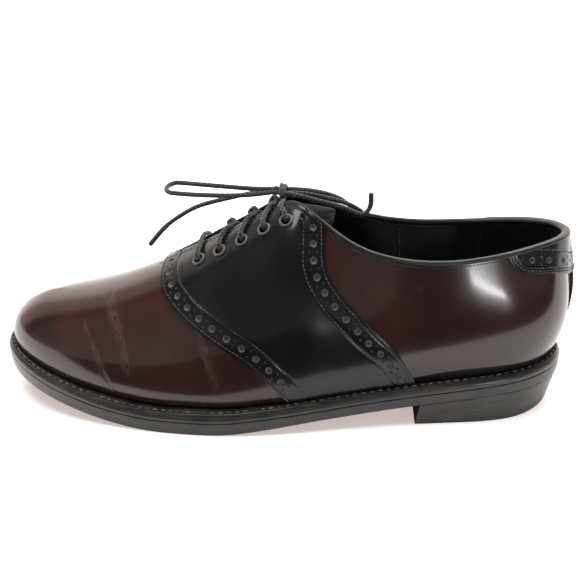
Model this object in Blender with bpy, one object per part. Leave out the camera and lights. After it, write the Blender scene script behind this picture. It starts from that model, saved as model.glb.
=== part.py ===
"""Left saddle oxford, toe towards -X, outer (lateral) side towards -Y, standing on z = 0. Sizes in millimetres."""
import math

import bmesh
import bpy
import numpy as np

# Last: length between toe and heel of the feather line, and where it starts.
LAST_LENGTH = 293.6
TOE_X = -146.0
CENTRE_X = 2.0693
CENTRE_Y = -0.7946
THROAT_SHARE = 0.33

# Sole: layers, and the profile of the tread from toe spring to heel seat.
FIT_GAP = 0.3
OUTSOLE_THICK = 7.0
OUTSOLE_THINNER = 1.4
WELT_THICK = 4.4
WELT_INSIDE = 7.0
SPRING_X = -50.0
SPRING_SOFT = 40.0
SPRING_SLOPE = 0.26
RAMP_X = -28.0
RAMP_SOFT = 18.0
RAMP_SLOPE = 0.108
BREAST_X = 76.0
HEEL_TAPER_SIDE = 1.2
HEEL_TAPER_CORNER = 1.8
HEEL_TAPER_BACK = 3.4

# Upper, saddle, tongue and insole.
WALL = 2.2
SADDLE_THICK = 1.1
SADDLE_GAP = 0.8
SADDLE_LOW = 0.022
TONGUE_THICK = 2.0
TONGUE_START_SHARE = 0.318
TONGUE_TOP_SHARE = 0.54
TONGUE_REACH = 23.0
TONGUE_SLOPE = -9.0
INSOLE_THICK = 3.0
INSOLE_INSET = 0.9

# Eyelets and laces.
EYELET_OUTER = 7.4
EYELET_HOLE = 4.2
EYELET_HIGH = 0.9
EYELET_SHARES = (0.386, 0.4225, 0.4595, 0.498, 0.539)
EYELET_BACK = (14.4, 13.7, 13.2, 12.8, 12.2)
LACE_DIAMETER = 2.4
LACE_ASIDE = 1.93
LACE_DIP = 0.20
KNOT = (8.2, 0.0, 110.8)
KNOT_HALF = (3.5, 5.2, 2.3)

# How fine the faceted solids are.
VAMP_STEPS = 12
QUARTER_STEPS = 25
RIB_STEPS = 11
HEEL_STEPS = 12

# One row per rib of the last: share of the length from the toe, half widths of the feather line, the rib's
# top end, its lean at the feather line, its climb at the top end and how full it is low down and high up.
LAST_COLUMNS = (
    "share lat med crest_x crest_z_lat crest_z_med crest_y_lat crest_y_med lean climb low high").split()
LAST_ROWS = (
    (0.00, 4.0, 4.0, -112.0, 56.6, 56.6, 0.0, 0.0, 7, 0, 0.54, 0.56),
    (0.03, -15.0, 22.5, -108.5, 57.2, 57.2, 0.0, 0.0, 8, 0, 0.54, 0.56),
    (0.08, -26.0, 32.0, -101.5, 58.6, 58.6, 0.0, 0.0, 10, 0, 0.55, 0.55),
    (0.15, -35.0, 39.3, -90.0, 61.3, 61.3, 0.0, 0.0, 12, 0, 0.56, 0.53),
    (0.25, -42.0, 44.4, -69.0, 68.0, 68.0, 0.0, 0.0, 13, 0, 0.54, 0.50),
    (0.33, -45.2, 44.4, -48.0, 76.5, 76.5, 0.0, 0.0, 13, 0, 0.52, 0.45),
    (0.42, -46.4, 40.0, -22.0, 89.5, 89.5, -4.2, 4.2, 12, 12, 0.48, 0.40),
    (0.50, -45.0, 34.0, 2.0, 102.3, 102.3, -5.5, 5.5, 11, 22, 0.45, 0.38),
    (0.56, -42.6, 29.8, 17.0, 107.0, 107.0, -9.0, 9.0, 11, 35, 0.45, 0.38),
    (0.60, -40.5, 27.8, 29.0, 101.2, 101.5, -17.5, 17.0, 11, 55, 0.42, 0.40),
    (0.66, -37.4, 26.2, 45.5, 92.0, 92.8, -26.5, 25.5, 12, 72, 0.40, 0.40),
    (0.74, -34.0, 26.3, 70.0, 86.2, 87.0, -31.0, 29.5, 13, 80, 0.40, 0.40),
    (0.84, -31.2, 28.6, 101.0, 86.6, 87.2, -29.5, 28.5, 15, 79, 0.40, 0.40),
    (0.92, -27.0, 26.4, 124.5, 89.8, 90.0, -23.0, 22.5, 19, 76, 0.41, 0.42),
    (0.97, -19.0, 18.8, 139.3, 91.7, 91.8, -14.8, 14.6, 21, 74, 0.42, 0.44),
    (1.00, 0.0, 0.0, 147.4, 92.2, 92.2, 0.0, 0.0, 22, 74, 0.42, 0.44),
)
LAST = dict(zip(LAST_COLUMNS, np.array(LAST_ROWS).T))

# How far the welt and outsole stand out beyond the feather line.
EDGE_COLUMNS = "share stand_out".split()
EDGE_ROWS = (
    (0.0, 3.8), (0.04, 4.4), (0.1, 5.4), (0.25, 6.3), (0.4, 6.4), (0.55, 5.6), (0.75, 5.0), (0.9, 4.1),
    (0.96, 3.6), (1.0, 4.2))
EDGE = dict(zip(EDGE_COLUMNS, np.array(EDGE_ROWS).T))

# Front and rear edges of the saddle, from the welt up to the ridge and the topline.
SADDLE_COLUMNS = "rise front rear".split()
SADDLE_ROWS = (
    (0.00, 0.538, 0.755),
    (0.10, 0.512, 0.743),
    (0.22, 0.474, 0.728),
    (0.32, 0.429, 0.713),
    (0.44, 0.378, 0.687),
    (0.56, 0.341, 0.660),
    (0.66, 0.322, 0.628),
    (0.74, 0.313, 0.607),
    (0.82, 0.309, 0.603),
    (0.90, 0.308, 0.604),
    (1.00, 0.308, 0.604),
)
SADDLE = dict(zip(SADDLE_COLUMNS, np.array(SADDLE_ROWS).T))

# Routes of the bow's loops and free ends, from the knot outward.
LOOP_FRONT_ROWS = (
    (4.0, 1.5, 111.3), (-7.0, 3.7, 110.9), (-19.0, 4.7, 111.5), (-34.0, 4.9, 112.7), (-45.1, 5.1, 113.6),
    (-47.8, 4.5, 113.4), (-49.7, 2.6, 112.9), (-50.4, 0.0, 112.3), (-49.7, -2.6, 111.7), (-47.8, -4.5, 111.2),
    (-45.1, -5.1, 111.0), (-34.0, -4.8, 110.1), (-19.0, -4.1, 109.5), (-7.0, -3.0, 109.7), (4.0, -1.5, 110.6))
LOOP_BACK_ROWS = (
    (12.4, 1.6, 111.3), (21.5, 8.2, 108.7), (29.5, 15.2, 105.1), (36.4, 20.3, 100.9), (40.6, 22.6, 97.2),
    (42.7, 23.1, 95.7), (45.0, 22.3, 94.6), (46.8, 20.3, 94.2), (47.6, 17.8, 94.6), (47.3, 15.4, 95.7),
    (45.8, 13.8, 97.2), (41.5, 11.6, 100.3), (35.0, 8.3, 103.5), (27.0, 4.2, 106.7), (19.5, 0.8, 109.1),
    (12.4, -1.6, 110.3))
END_FRONT_ROWS = (
    (5.2, 4.7, 111.0), (-7.0, 8.0, 107.7), (-18.0, 9.6, 104.9), (-32.7, 10.6, 101.1), (-41.3, 11.3, 97.7),
    (-51.2, 12.2, 91.7), (-58.5, 13.0, 85.8), (-67.0, 14.0, 76.6))
END_BACK_ROWS = (
    (12.2, -4.5, 110.7), (20.0, -4.4, 108.7), (29.0, -2.2, 105.6), (37.5, 2.6, 101.8), (45.8, 8.2, 96.6),
    (47.9, 9.6, 95.8), (50.1, 11.0, 96.3), (51.7, 12.0, 98.0), (52.5, 12.5, 100.8), (52.5, 12.5, 106.0))

BURGUNDY = (0.060, 0.014, 0.013, 1.0)
BLACK = (0.012, 0.011, 0.011, 1.0)


# Last surface.
def turn_of(share):
    """Place round the outline, 0 at the toe and 1 at the heel, that spreads points out at both round ends."""
    return np.arccos(1 - 2 * np.asarray(share, float)) / math.pi


def share_of(turn):
    """Share of the last's length at a place round the outline."""
    return (1 - np.cos(math.pi * np.asarray(turn, float))) / 2


def closed_curve(lat, med):
    """Smooth closed curve through one value per row, down the lateral side and back up the medial side."""
    turns = turn_of(LAST["share"])
    knots = np.concatenate([turns, 2 - turns[-2:0:-1]])
    values = np.concatenate([LAST[lat], LAST[med][-2:0:-1]])
    count = len(knots)
    step = np.diff(np.append(knots, 2.0))
    system = np.zeros((count, count))
    bend = np.zeros(count)
    for i in range(count):
        before, after = (i - 1) % count, (i + 1) % count
        system[i, before] += step[before]
        system[i, i] += 2 * (step[before] + step[i])
        system[i, after] += step[i]
        bend[i] = 6 * ((values[after] - values[i]) / step[i] - (values[i] - values[before]) / step[before])
    second = np.linalg.solve(system, bend)

    def at(turn):
        turn = np.mod(np.asarray(turn, float), 2.0)
        i = np.clip(np.searchsorted(knots, turn, side="right") - 1, 0, count - 1)
        j = (i + 1) % count
        right = turn - knots[i]
        left = step[i] - right
        cubic = (second[i] * left**3 + second[j] * right**3) / (6 * step[i])
        low = (values[i] / step[i] - second[i] * step[i] / 6) * left
        return cubic + low + (values[j] / step[i] - second[j] * step[i] / 6) * right
    return at


FEATHER_Y = closed_curve("lat", "med")
CREST_X = closed_curve("crest_x", "crest_x")
CREST_Y = closed_curve("crest_y_lat", "crest_y_med")
CREST_Z = closed_curve("crest_z_lat", "crest_z_med")
LEAN = closed_curve("lean", "lean")
CLIMB = closed_curve("climb", "climb")
LOW = closed_curve("low", "low")
HIGH = closed_curve("high", "high")


def tread_z(x):
    """Height of the tread's lower face: toe spring, flat tread, and a straight rise along shank and heel seat."""
    x = np.asarray(x, float)
    before = np.clip(SPRING_X - x, 0, None)
    spring = SPRING_SLOPE * (np.sqrt(before**2 + SPRING_SOFT**2) - SPRING_SOFT)
    after = np.clip(x - RAMP_X, 0, None)
    ramp = RAMP_SLOPE * np.where(after < RAMP_SOFT, after**2 / (2 * RAMP_SOFT), after - RAMP_SOFT / 2)
    return spring + ramp


def thinner(turn):
    """How much thinner the outsole is from the waist back, taken off its lower face."""
    s = np.clip((share_of(turn) - 0.42) / 0.18, 0, 1)
    return OUTSOLE_THINNER * (3 * s**2 - 2 * s**3)


def feather_plan(turn, out=0.0):
    """Point in plan on the feather line, moved outward by a distance square to the line."""
    turn = np.asarray(turn, float)
    tiny = 1e-4

    def plain(t):
        return np.stack([TOE_X + LAST_LENGTH * share_of(t), FEATHER_Y(t)], -1)
    along = plain(turn + tiny) - plain(turn - tiny)
    square = np.stack([along[..., 1], -along[..., 0]], -1)
    square = square / np.linalg.norm(square, axis=-1, keepdims=True)
    return plain(turn) + square * np.asarray(out, float)[..., None], square


def stand_out(turn):
    return np.interp(share_of(turn), EDGE["share"], EDGE["stand_out"])


def on_sole(turn, out, height):
    """Point at a height above the tread's lower face, with the plan moved outward from the feather line."""
    plan, square = feather_plan(turn, out)
    z = tread_z(plan[..., 0]) + height
    return np.concatenate([plan, np.asarray(z)[..., None]], -1)


def feather(turn):
    return on_sole(turn, 0.0, OUTSOLE_THICK + WELT_THICK + 2 * FIT_GAP)


def crest(turn):
    """Top end of each rib: the vamp's ridge up to the throat, then the facing edge and the topline."""
    turn = np.asarray(turn, float)
    ridge = share_of(turn) <= THROAT_SHARE + 1e-9
    there = np.where(ridge, np.minimum(turn, 2 - turn), turn)
    y = np.where(ridge, 0.0, CREST_Y(turn))
    return np.stack([CREST_X(there), y, CREST_Z(there)], -1)


def rib(turn, rise):
    """Outer surface of the upper, from rise 0 at the feather line to rise 1 at the top end."""
    turn = np.asarray(turn, float)
    rise = np.asarray(rise, float)[..., None]
    foot, top = feather(turn), crest(turn)
    up = np.array([0.0, 0.0, 1.0])
    square = np.concatenate([feather_plan(turn)[1], np.zeros(turn.shape + (1,))], -1)
    lean = np.radians(LEAN(turn))[..., None]
    start = square * np.sin(lean) + up * np.cos(lean)
    across = (top - foot) * np.array([1.0, 1.0, 0.0])
    width = np.linalg.norm(across, axis=-1, keepdims=True)
    across = across / width
    tiny = 1e-3
    before = turn_of(np.clip(share_of(turn) - tiny, 0, 1))
    after = turn_of(np.clip(share_of(turn) + tiny, 0, 1))
    slope = (CREST_Z(after) - CREST_Z(before)) / (CREST_X(after) - CREST_X(before))
    slope = np.where(share_of(turn) <= THROAT_SHARE + 1e-9, slope, 0.0)
    ridge = np.stack([np.ones_like(slope), np.zeros_like(slope), slope], -1)
    flat = across[..., 1:2] * np.array([0.0, 1.0, 0.0]) + across[..., 0:1] * ridge
    flat = flat / np.linalg.norm(flat, axis=-1, keepdims=True)
    climb = np.radians(CLIMB(turn))[..., None]
    end = flat * np.cos(climb) + up * np.sin(climb)
    height = (top - foot)[..., 2:3]
    first = foot + start * LOW(turn)[..., None] * height
    last = top - end * HIGH(turn)[..., None] * (width * np.cos(climb) + height * np.sin(climb))
    left = 1 - rise
    return left**3 * foot + 3 * left**2 * rise * first + 3 * left * rise**2 * last + rise**3 * top


def skin(turn, rise, out):
    """Point a distance outside the upper's outer surface, negative for inside it."""
    turn, rise = np.broadcast_arrays(np.asarray(turn, float), np.asarray(rise, float))
    tiny = 1e-4
    low, high = np.clip(rise - tiny, 0, 1), np.clip(rise + tiny, 0, 1)
    along = rib(turn + tiny, rise) - rib(turn - tiny, rise)
    upward = rib(turn, high) - rib(turn, low)
    square = np.cross(along, upward)
    on_ridge = (rise > 1 - 1e-9) & (share_of(turn) <= THROAT_SHARE + 1e-9)
    square = np.where(on_ridge[..., None], square * np.array([1.0, 0.0, 1.0]), square)
    square = square / np.linalg.norm(square, axis=-1, keepdims=True)
    return rib(turn, rise) + square * np.asarray(out, float)[..., None]


def rise_below(turn, distance):
    """Rise of the point a distance down the rib from its top end."""
    rises = np.linspace(1, 0, 400)
    line = rib(np.full(400, turn), rises)
    run = np.append(0, np.cumsum(np.linalg.norm(np.diff(line, axis=0), axis=1)))
    return float(np.interp(distance, run, rises))


# Mesh building.
def material(name, color, roughness, metallic=0.0):
    made = bpy.data.materials.new(name)
    made.use_nodes = True
    shader = made.node_tree.nodes["Principled BSDF"]
    shader.inputs["Base Color"].default_value = color
    shader.inputs["Roughness"].default_value = roughness
    shader.inputs["Metallic"].default_value = metallic
    return made


def solid(name, points, faces, color, roughness, metallic=0.0):
    """Object from points in millimetres, with points at one place joined."""
    points = (np.asarray(points, float) - np.array([CENTRE_X, CENTRE_Y, 0.0])) * 0.001
    mesh = bpy.data.meshes.new(name)
    mesh.from_pydata(points.tolist(), [], [[int(i) for i in face] for face in faces])
    edit = bmesh.new()
    edit.from_mesh(mesh)
    bmesh.ops.remove_doubles(edit, verts=edit.verts[:], dist=2e-6)
    bmesh.ops.dissolve_degenerate(edit, dist=1e-7, edges=edit.edges[:])
    edit.to_mesh(mesh)
    edit.free()
    made = bpy.data.objects.new(name, mesh)
    made.data.materials.append(material(name, color, roughness, metallic))
    bpy.context.scene.collection.objects.link(made)
    return made


def grid_faces(rows, columns, close_rows=False, close_columns=False, start=0):
    faces = []
    for i in range(rows if close_rows else rows - 1):
        for j in range(columns if close_columns else columns - 1):
            a, b = i, (i + 1) % rows
            c, d = j, (j + 1) % columns
            faces.append([start + a * columns + c, start + b * columns + c,
                          start + b * columns + d, start + a * columns + d])
    return faces


def thicken(made, thick):
    grown = made.modifiers.new("wall", "SOLIDIFY")
    grown.thickness = thick * 0.001
    grown.offset = -1.0
    grown.use_even_offset = False


def plate(name, loops, color, roughness):
    """Solid between closed loops stacked from bottom to top, each loop mirrored lateral to medial by index."""
    loops = np.array(loops)
    layers, count = loops.shape[:2]
    faces = []
    for i in range(layers - 1):
        for j in range(count):
            k = (j + 1) % count
            faces.append([i * count + j, i * count + k, (i + 1) * count + k, (i + 1) * count + j])
    top = (layers - 1) * count
    half = count // 2
    for j in range(half):
        mirror_a, mirror_b = (count - j) % count, count - j - 1
        faces.append([j, mirror_a, mirror_b, j + 1])
        faces.append([top + j, top + j + 1, top + mirror_b, top + mirror_a])
    faces = [list(dict.fromkeys(face)) for face in faces]
    return solid(name, loops.reshape(-1, 3), faces, color, roughness)


LATERAL = np.concatenate([
    np.linspace(0, turn_of(THROAT_SHARE), VAMP_STEPS + 1)[:-1],
    np.linspace(turn_of(THROAT_SHARE), 1, QUARTER_STEPS + 1)])
ROUND = np.concatenate([LATERAL, 2 - LATERAL[-2:0:-1]])


# Outsole: one plate with rounded edges.
def build_outsole():
    edge = stand_out(ROUND)
    plate("outsole", (
        on_sole(ROUND, edge - 0.9, thinner(ROUND)),
        on_sole(ROUND, edge, thinner(ROUND) + 0.8),
        on_sole(ROUND, edge, OUTSOLE_THICK - 0.4),
        on_sole(ROUND, edge - 0.4, OUTSOLE_THICK)), BLACK, 0.45)


# Welt: a ring between outsole and upper, lying on the outsole.
def build_welt():
    base = OUTSOLE_THICK + FIT_GAP
    edge = stand_out(ROUND)
    inner = np.full(len(ROUND), -WELT_INSIDE)
    section = (
        (inner, 0.0), (edge - 0.4, 0.0), (edge, 0.4),
        (edge, WELT_THICK - 0.8), (edge - 0.8, WELT_THICK), (inner, WELT_THICK))
    points = np.stack([on_sole(ROUND, out, base + high) for out, high in section], 1)
    faces = grid_faces(len(ROUND), len(section), True, True)
    solid("welt", points.reshape(-1, 3), faces, BLACK, 0.5)


# Heel: a block under the seat, flat below, tapering inward towards the floor.
def build_heel():
    def breast_turn(medial, drop):
        low, high = 0.5, 0.9
        for _ in range(50):
            half = (low + high) / 2
            x = feather_plan(2 - half if medial else half, stand_out(half) - drop)[0][0]
            low, high = (half, high) if x < BREAST_X else (low, half)
        return low

    def loop(inset, share_down):
        side, back = HEEL_TAPER_SIDE * share_down, HEEL_TAPER_BACK * share_down
        rows = []
        for medial in (False, True):
            first = breast_turn(medial, inset + side)
            turns = np.linspace(first, 1, HEEL_STEPS + 1)
            s = (turns - first) / (1 - first)
            corner = HEEL_TAPER_CORNER * share_down * np.exp(-(((s - 0.72) / 0.22) ** 2))
            taper = inset + side + (back - side) * s**2 + corner
            plan = feather_plan(2 - turns if medial else turns, stand_out(turns) - taper)[0]
            rows.append(plan)
        return np.concatenate([rows[0], rows[1][::-1][1:]])
    layers = []
    for inset, share_down in ((0.9, 1.0), (0.4, 0.95), (0.4, 0.0)):
        plan = loop(inset, share_down)
        seat = tread_z(np.maximum(plan[:, 0], BREAST_X)) + OUTSOLE_THINNER - FIT_GAP
        high = {1.0: np.zeros(len(plan)), 0.95: np.full(len(plan), 0.6), 0.0: seat}[share_down]
        layers.append(np.column_stack([plan, high]))
    count = len(layers[0])
    faces = []
    for i in range(2):
        for j in range(count):
            k = (j + 1) % count
            faces.append([i * count + j, i * count + k, (i + 1) * count + k, (i + 1) * count + j])
    half = count // 2
    for j in range(half):
        a, b = count - 1 - j, count - 2 - j
        faces.append(list(dict.fromkeys([j, a, b, j + 1])))
        faces.append([2 * count + i for i in dict.fromkeys([j, j + 1, b, a])])
    solid("heel", np.concatenate(layers), faces, BLACK, 0.45)


# Insole: a board inside the upper, with its filling reaching down inside the welt to the outsole.
def build_insole():
    places = ROUND[::2]
    base = OUTSOLE_THICK + FIT_GAP
    floor = OUTSOLE_THICK + WELT_THICK + 2 * FIT_GAP
    inside = np.full(len(places), -WELT_INSIDE - FIT_GAP - 0.2)
    board = np.full(len(places), -WALL - INSOLE_INSET)
    plate("insole", (
        on_sole(places, inside, base),
        on_sole(places, inside, floor),
        on_sole(places, board, floor),
        on_sole(places, board, floor + INSOLE_THICK - 0.8),
        on_sole(places, board - 0.8, floor + INSOLE_THICK)), (0.030, 0.022, 0.018, 1.0), 0.7)


# Upper: vamp and quarters as one shell with a real wall.
def build_upper():
    turns, rises = np.meshgrid(ROUND, np.linspace(0, 1, RIB_STEPS + 1), indexing="ij")
    points = rib(turns, rises)
    faces = grid_faces(len(ROUND), RIB_STEPS + 1, True, False)
    made = solid("upper", points.reshape(-1, 3), faces, BURGUNDY, 0.22)
    thicken(made, WALL)


# Saddle: a shell lying on the upper, its two sides joined in front of the throat.
def build_saddle():
    rises = np.linspace(0, 1, RIB_STEPS + 1)
    rises[0] = SADDLE_LOW
    front = np.interp(rises, SADDLE["rise"], SADDLE["front"])
    rear = np.interp(rises, SADDLE["rise"], SADDLE["rear"])
    throat = (THROAT_SHARE - front[-1]) / (rear[-1] - front[-1])
    across = np.concatenate([[0.0], np.linspace(throat, 1, 16)])
    points, faces = [], []
    for medial in (False, True):
        shares = front[None] + (rear - front)[None] * across[:, None]
        shares[1, -1] = THROAT_SHARE
        turns = turn_of(shares)
        start = len(points)
        sheet = skin(2 - turns if medial else turns, np.broadcast_to(rises, turns.shape), SADDLE_GAP + SADDLE_THICK)
        points.extend(sheet.reshape(-1, 3))
        side = grid_faces(len(across), len(rises), start=start)
        faces.extend([face[::-1] for face in side] if medial else side)
    made = solid("saddle", points, faces, BLACK, 0.3)
    thicken(made, SADDLE_THICK)


# Tongue: a bent sheet under the facings, its free top standing out above them.
def build_tongue():
    depth = -(WALL + FIT_GAP + 0.5)
    reach = np.linspace(TONGUE_REACH, 0, 5)
    rows = []
    for share in np.linspace(TONGUE_START_SHARE, TONGUE_TOP_SHARE, 11):
        turn = float(turn_of(share))
        lateral = [skin(turn, rise_below(turn, d), depth) for d in reach]
        medial = [skin(2 - turn, rise_below(2 - turn, d), depth) for d in reach]
        middle = (lateral[-1] + medial[-1]) / 2 + np.array([0.0, 0.0, 0.12 * abs(lateral[-1][1])])
        if share <= THROAT_SHARE:
            lateral[-1] = medial[-1] = middle
        rows.append(lateral + [middle] + medial[::-1])
    rows = [np.array(row) for row in rows]
    slope = math.radians(TONGUE_SLOPE)
    for run, narrow in ((5.0, 0.97), (10.0, 0.90), (14.0, 0.78), (16.5, 0.58)):
        row = rows[10].copy()
        row += np.array([math.cos(slope), 0.0, math.sin(slope)]) * run
        keep = row[len(row) // 2].copy()
        row = keep + (row - keep) * np.array([1.0, narrow, narrow])
        rows.append(row)
    points = np.array(rows)
    faces = grid_faces(len(rows), points.shape[1])
    made = solid("tongue", points.reshape(-1, 3), faces, BLACK, 0.4)
    thicken(made, TONGUE_THICK)


# Eyelets: flat rings lying on the saddle.
def build_eyelets():
    for side in ("lateral", "medial"):
        for number, (share, back) in enumerate(zip(EYELET_SHARES, EYELET_BACK), 1):
            turn = float(turn_of(share))
            turn = 2 - turn if side == "medial" else turn
            rise = rise_below(turn, back)
            lift = SADDLE_GAP + SADDLE_THICK + FIT_GAP + 0.15
            centre = skin(turn, rise, lift)
            axis = skin(turn, rise, lift + 1) - centre
            first = np.cross(axis, [0.0, 1.0, 0.0])
            first = first / np.linalg.norm(first)
            second = np.cross(axis, first)
            points = []
            for k in range(12):
                angle = 2 * math.pi * k / 12
                ray = first * math.cos(angle) + second * math.sin(angle)
                for radius, high in ((EYELET_HOLE / 2, 0.0), (EYELET_OUTER / 2, 0.0),
                                     (EYELET_OUTER / 2 - 0.5, EYELET_HIGH), (EYELET_HOLE / 2, EYELET_HIGH)):
                    points.append(centre + ray * radius + axis * high)
            faces = grid_faces(12, 4, True, True)
            solid("eyelet_%s_%d" % (side, number), points, faces, (0.02, 0.02, 0.02, 1.0), 0.35, 0.8)


# Laces: a bar, crossings that clear the facings, and a bow of tubes from the knot.
def tube_mesh(name, route, radius):
    route = np.array(route)
    along = np.gradient(route, axis=0)
    along = along / np.linalg.norm(along, axis=1, keepdims=True)
    points = []
    for place, way in zip(route, along):
        side = np.cross(way, [0.0, 0.0, 1.0])
        side = side / np.linalg.norm(side)
        top = np.cross(side, way)
        for k in range(8):
            angle = 2 * math.pi * (k + 0.5) / 8
            points.append(place + (side * math.cos(angle) + top * math.sin(angle)) * radius)
    faces = grid_faces(len(route), 8, False, True)
    faces.append(list(range(8))[::-1])
    faces.append([(len(route) - 1) * 8 + k for k in range(8)])
    return solid(name, points, faces, BLACK, 0.6)


def outward(made):
    edit = bmesh.new()
    edit.from_mesh(made.data)
    bmesh.ops.recalc_face_normals(edit, faces=edit.faces[:])
    edit.to_mesh(made.data)
    edit.free()


def strand(first_share, first_back, last_share, last_back, first_aside, last_aside, mirrored):
    """Route over both facings from one side's eyelet to the other side's."""
    edge = SADDLE_GAP + SADDLE_THICK + FIT_GAP + LACE_DIAMETER / 2 + 0.25
    ring = EYELET_HIGH + FIT_GAP + 0.1
    start = first_share + first_aside / LAST_LENGTH
    stop = last_share + last_aside / LAST_LENGTH
    route = []
    for q in (0.0, 0.2, 0.38, 0.46):
        turn = float(turn_of(start + (stop - start) * q))
        turn = 2 - turn if mirrored else turn
        route.append(skin(turn, rise_below(turn, first_back * (1 - 2 * q)), edge + ring * (1 - 2 * q)))
    after = []
    for q in (1.0, 0.8, 0.62, 0.54):
        turn = float(turn_of(start + (stop - start) * q))
        turn = turn if mirrored else 2 - turn
        after.append(skin(turn, rise_below(turn, last_back * (2 * q - 1)), edge + ring * (2 * q - 1)))
    turn = float(turn_of((start + stop) / 2))
    middle = (crest(turn) + crest(2 - turn)) / 2
    middle = middle + np.array([0.0, 0.0, edge + LACE_DIP * crest(turn)[1]])
    return route + [middle] + after[::-1]


def join(made, other):
    merged = made.modifiers.new("join", "BOOLEAN")
    merged.operation = "UNION"
    merged.solver = "EXACT"
    merged.object = other
    other.hide_render = True
    other.display_type = "WIRE"


def build_laces():
    radius = LACE_DIAMETER / 2
    last = len(EYELET_SHARES) - 1
    bar = strand(EYELET_SHARES[0], EYELET_BACK[0], EYELET_SHARES[0], EYELET_BACK[0], -LACE_ASIDE, -LACE_ASIDE, False)
    outward(tube_mesh("lace_bar", bar, radius))
    for i in range(last):
        ends = (EYELET_SHARES[i], EYELET_BACK[i], EYELET_SHARES[i + 1], EYELET_BACK[i + 1], LACE_ASIDE, -LACE_ASIDE)
        over = tube_mesh("lace_cross_%d" % (i + 1), strand(*ends, False), radius)
        under = tube_mesh("lace_cross_%d_other" % (i + 1), strand(*ends, True), radius)
        outward(over)
        outward(under)
        join(over, under)
    top = strand(EYELET_SHARES[last], EYELET_BACK[last], EYELET_SHARES[last], EYELET_BACK[last],
                 LACE_ASIDE, LACE_ASIDE, False)
    top[4] = np.array([KNOT[0], KNOT[1], KNOT[2] - 1.0])
    strap = tube_mesh("lace_knot", top, radius)
    outward(strap)
    lump = []
    for i in range(7):
        polar = math.pi * i / 6
        for k in range(12):
            angle = 2 * math.pi * k / 12
            ball = np.array([math.sin(polar) * math.cos(angle), math.sin(polar) * math.sin(angle), math.cos(polar)])
            lump.append(np.array(KNOT) + ball * np.array(KNOT_HALF))
    knot = solid("lace_knot_lump", lump, grid_faces(7, 12, False, True), BLACK, 0.6)
    outward(knot)
    join(strap, knot)
    for name, rows in (("lace_loop_front", LOOP_FRONT_ROWS), ("lace_loop_back", LOOP_BACK_ROWS),
                       ("lace_end_front", END_FRONT_ROWS), ("lace_end_back", END_BACK_ROWS)):
        cord(name, rows)


def cord(name, rows):
    """Tube along a smooth route through the rows."""
    rows = np.array(rows)
    padded = np.vstack([2 * rows[0] - rows[1], rows, 2 * rows[-1] - rows[-2]])
    route = []
    for i in range(1, len(padded) - 2):
        a, b, c, d = padded[i - 1:i + 3]
        for t in (0.0, 0.5) if np.linalg.norm(c - b) > 11 else (0.0,):
            route.append(0.5 * (2 * b + (c - a) * t + (2 * a - 5 * b + 4 * c - d) * t**2
                                + (3 * b - a - 3 * c + d) * t**3))
    route.append(padded[-2])
    curve = bpy.data.curves.new(name, "CURVE")
    curve.dimensions = "3D"
    curve.bevel_depth = LACE_DIAMETER / 2 * 0.001
    curve.bevel_resolution = 2
    curve.use_fill_caps = True
    line = curve.splines.new("POLY")
    line.points.add(len(route) - 1)
    for point, place in zip(line.points, route):
        place = (place - np.array([CENTRE_X, CENTRE_Y, 0.0])) * 0.001
        point.co = (place[0], place[1], place[2], 1.0)
    curve.materials.append(material(name, BLACK, 0.6))
    bpy.context.scene.collection.objects.link(bpy.data.objects.new(name, curve))


for old in list(bpy.data.objects):
    bpy.data.objects.remove(old)
build_outsole()
build_welt()
build_heel()
build_insole()
build_upper()
build_tongue()
build_saddle()
build_eyelets()
build_laces()
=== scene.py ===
import math

import bmesh
import bpy
import numpy as np
from mathutils import Matrix, Vector
from mathutils.geometry import delaunay_2d_cdt


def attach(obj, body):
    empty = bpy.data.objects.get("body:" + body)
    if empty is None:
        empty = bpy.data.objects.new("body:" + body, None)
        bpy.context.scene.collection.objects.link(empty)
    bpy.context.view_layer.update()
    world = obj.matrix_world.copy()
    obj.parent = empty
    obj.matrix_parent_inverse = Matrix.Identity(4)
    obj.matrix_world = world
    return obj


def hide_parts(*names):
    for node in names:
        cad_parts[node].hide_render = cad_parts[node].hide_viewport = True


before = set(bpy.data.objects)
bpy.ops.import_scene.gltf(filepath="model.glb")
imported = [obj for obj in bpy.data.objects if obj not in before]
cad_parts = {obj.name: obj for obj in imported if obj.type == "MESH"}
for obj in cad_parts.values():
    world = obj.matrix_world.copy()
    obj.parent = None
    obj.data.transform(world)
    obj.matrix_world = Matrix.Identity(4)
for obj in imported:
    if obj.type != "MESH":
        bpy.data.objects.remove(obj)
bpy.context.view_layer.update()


# Vamp and quarters: burgundy calf drawn over the last and sewn down into the welt, then polished.
# It is creased where the foot bends, and a lighter brown shows where the polish has cracked.
# Painted shade darkens the bottom of the upper along the welt, and a painted red glow lightens the toe tip.
LAST_LENGTH = 293.6
TOE_X = -146.0
LAST_CENTRE = np.array([2.0693, -0.7946, 0.0])
THROAT_SHARE = 0.33
OUTSOLE_THICK = 7.0
WELT_THICK = 4.4
FIT_GAP = 0.3
SPRING_X = -50.0
SPRING_SOFT = 40.0
SPRING_SLOPE = 0.26
RAMP_X = -28.0
RAMP_SOFT = 18.0
RAMP_SLOPE = 0.108
UPPER_LEATHER = 1.05
LAST_COLUMNS = (
    "share lat med crest_x crest_z_lat crest_z_med crest_y_lat crest_y_med lean climb low high").split()
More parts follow.
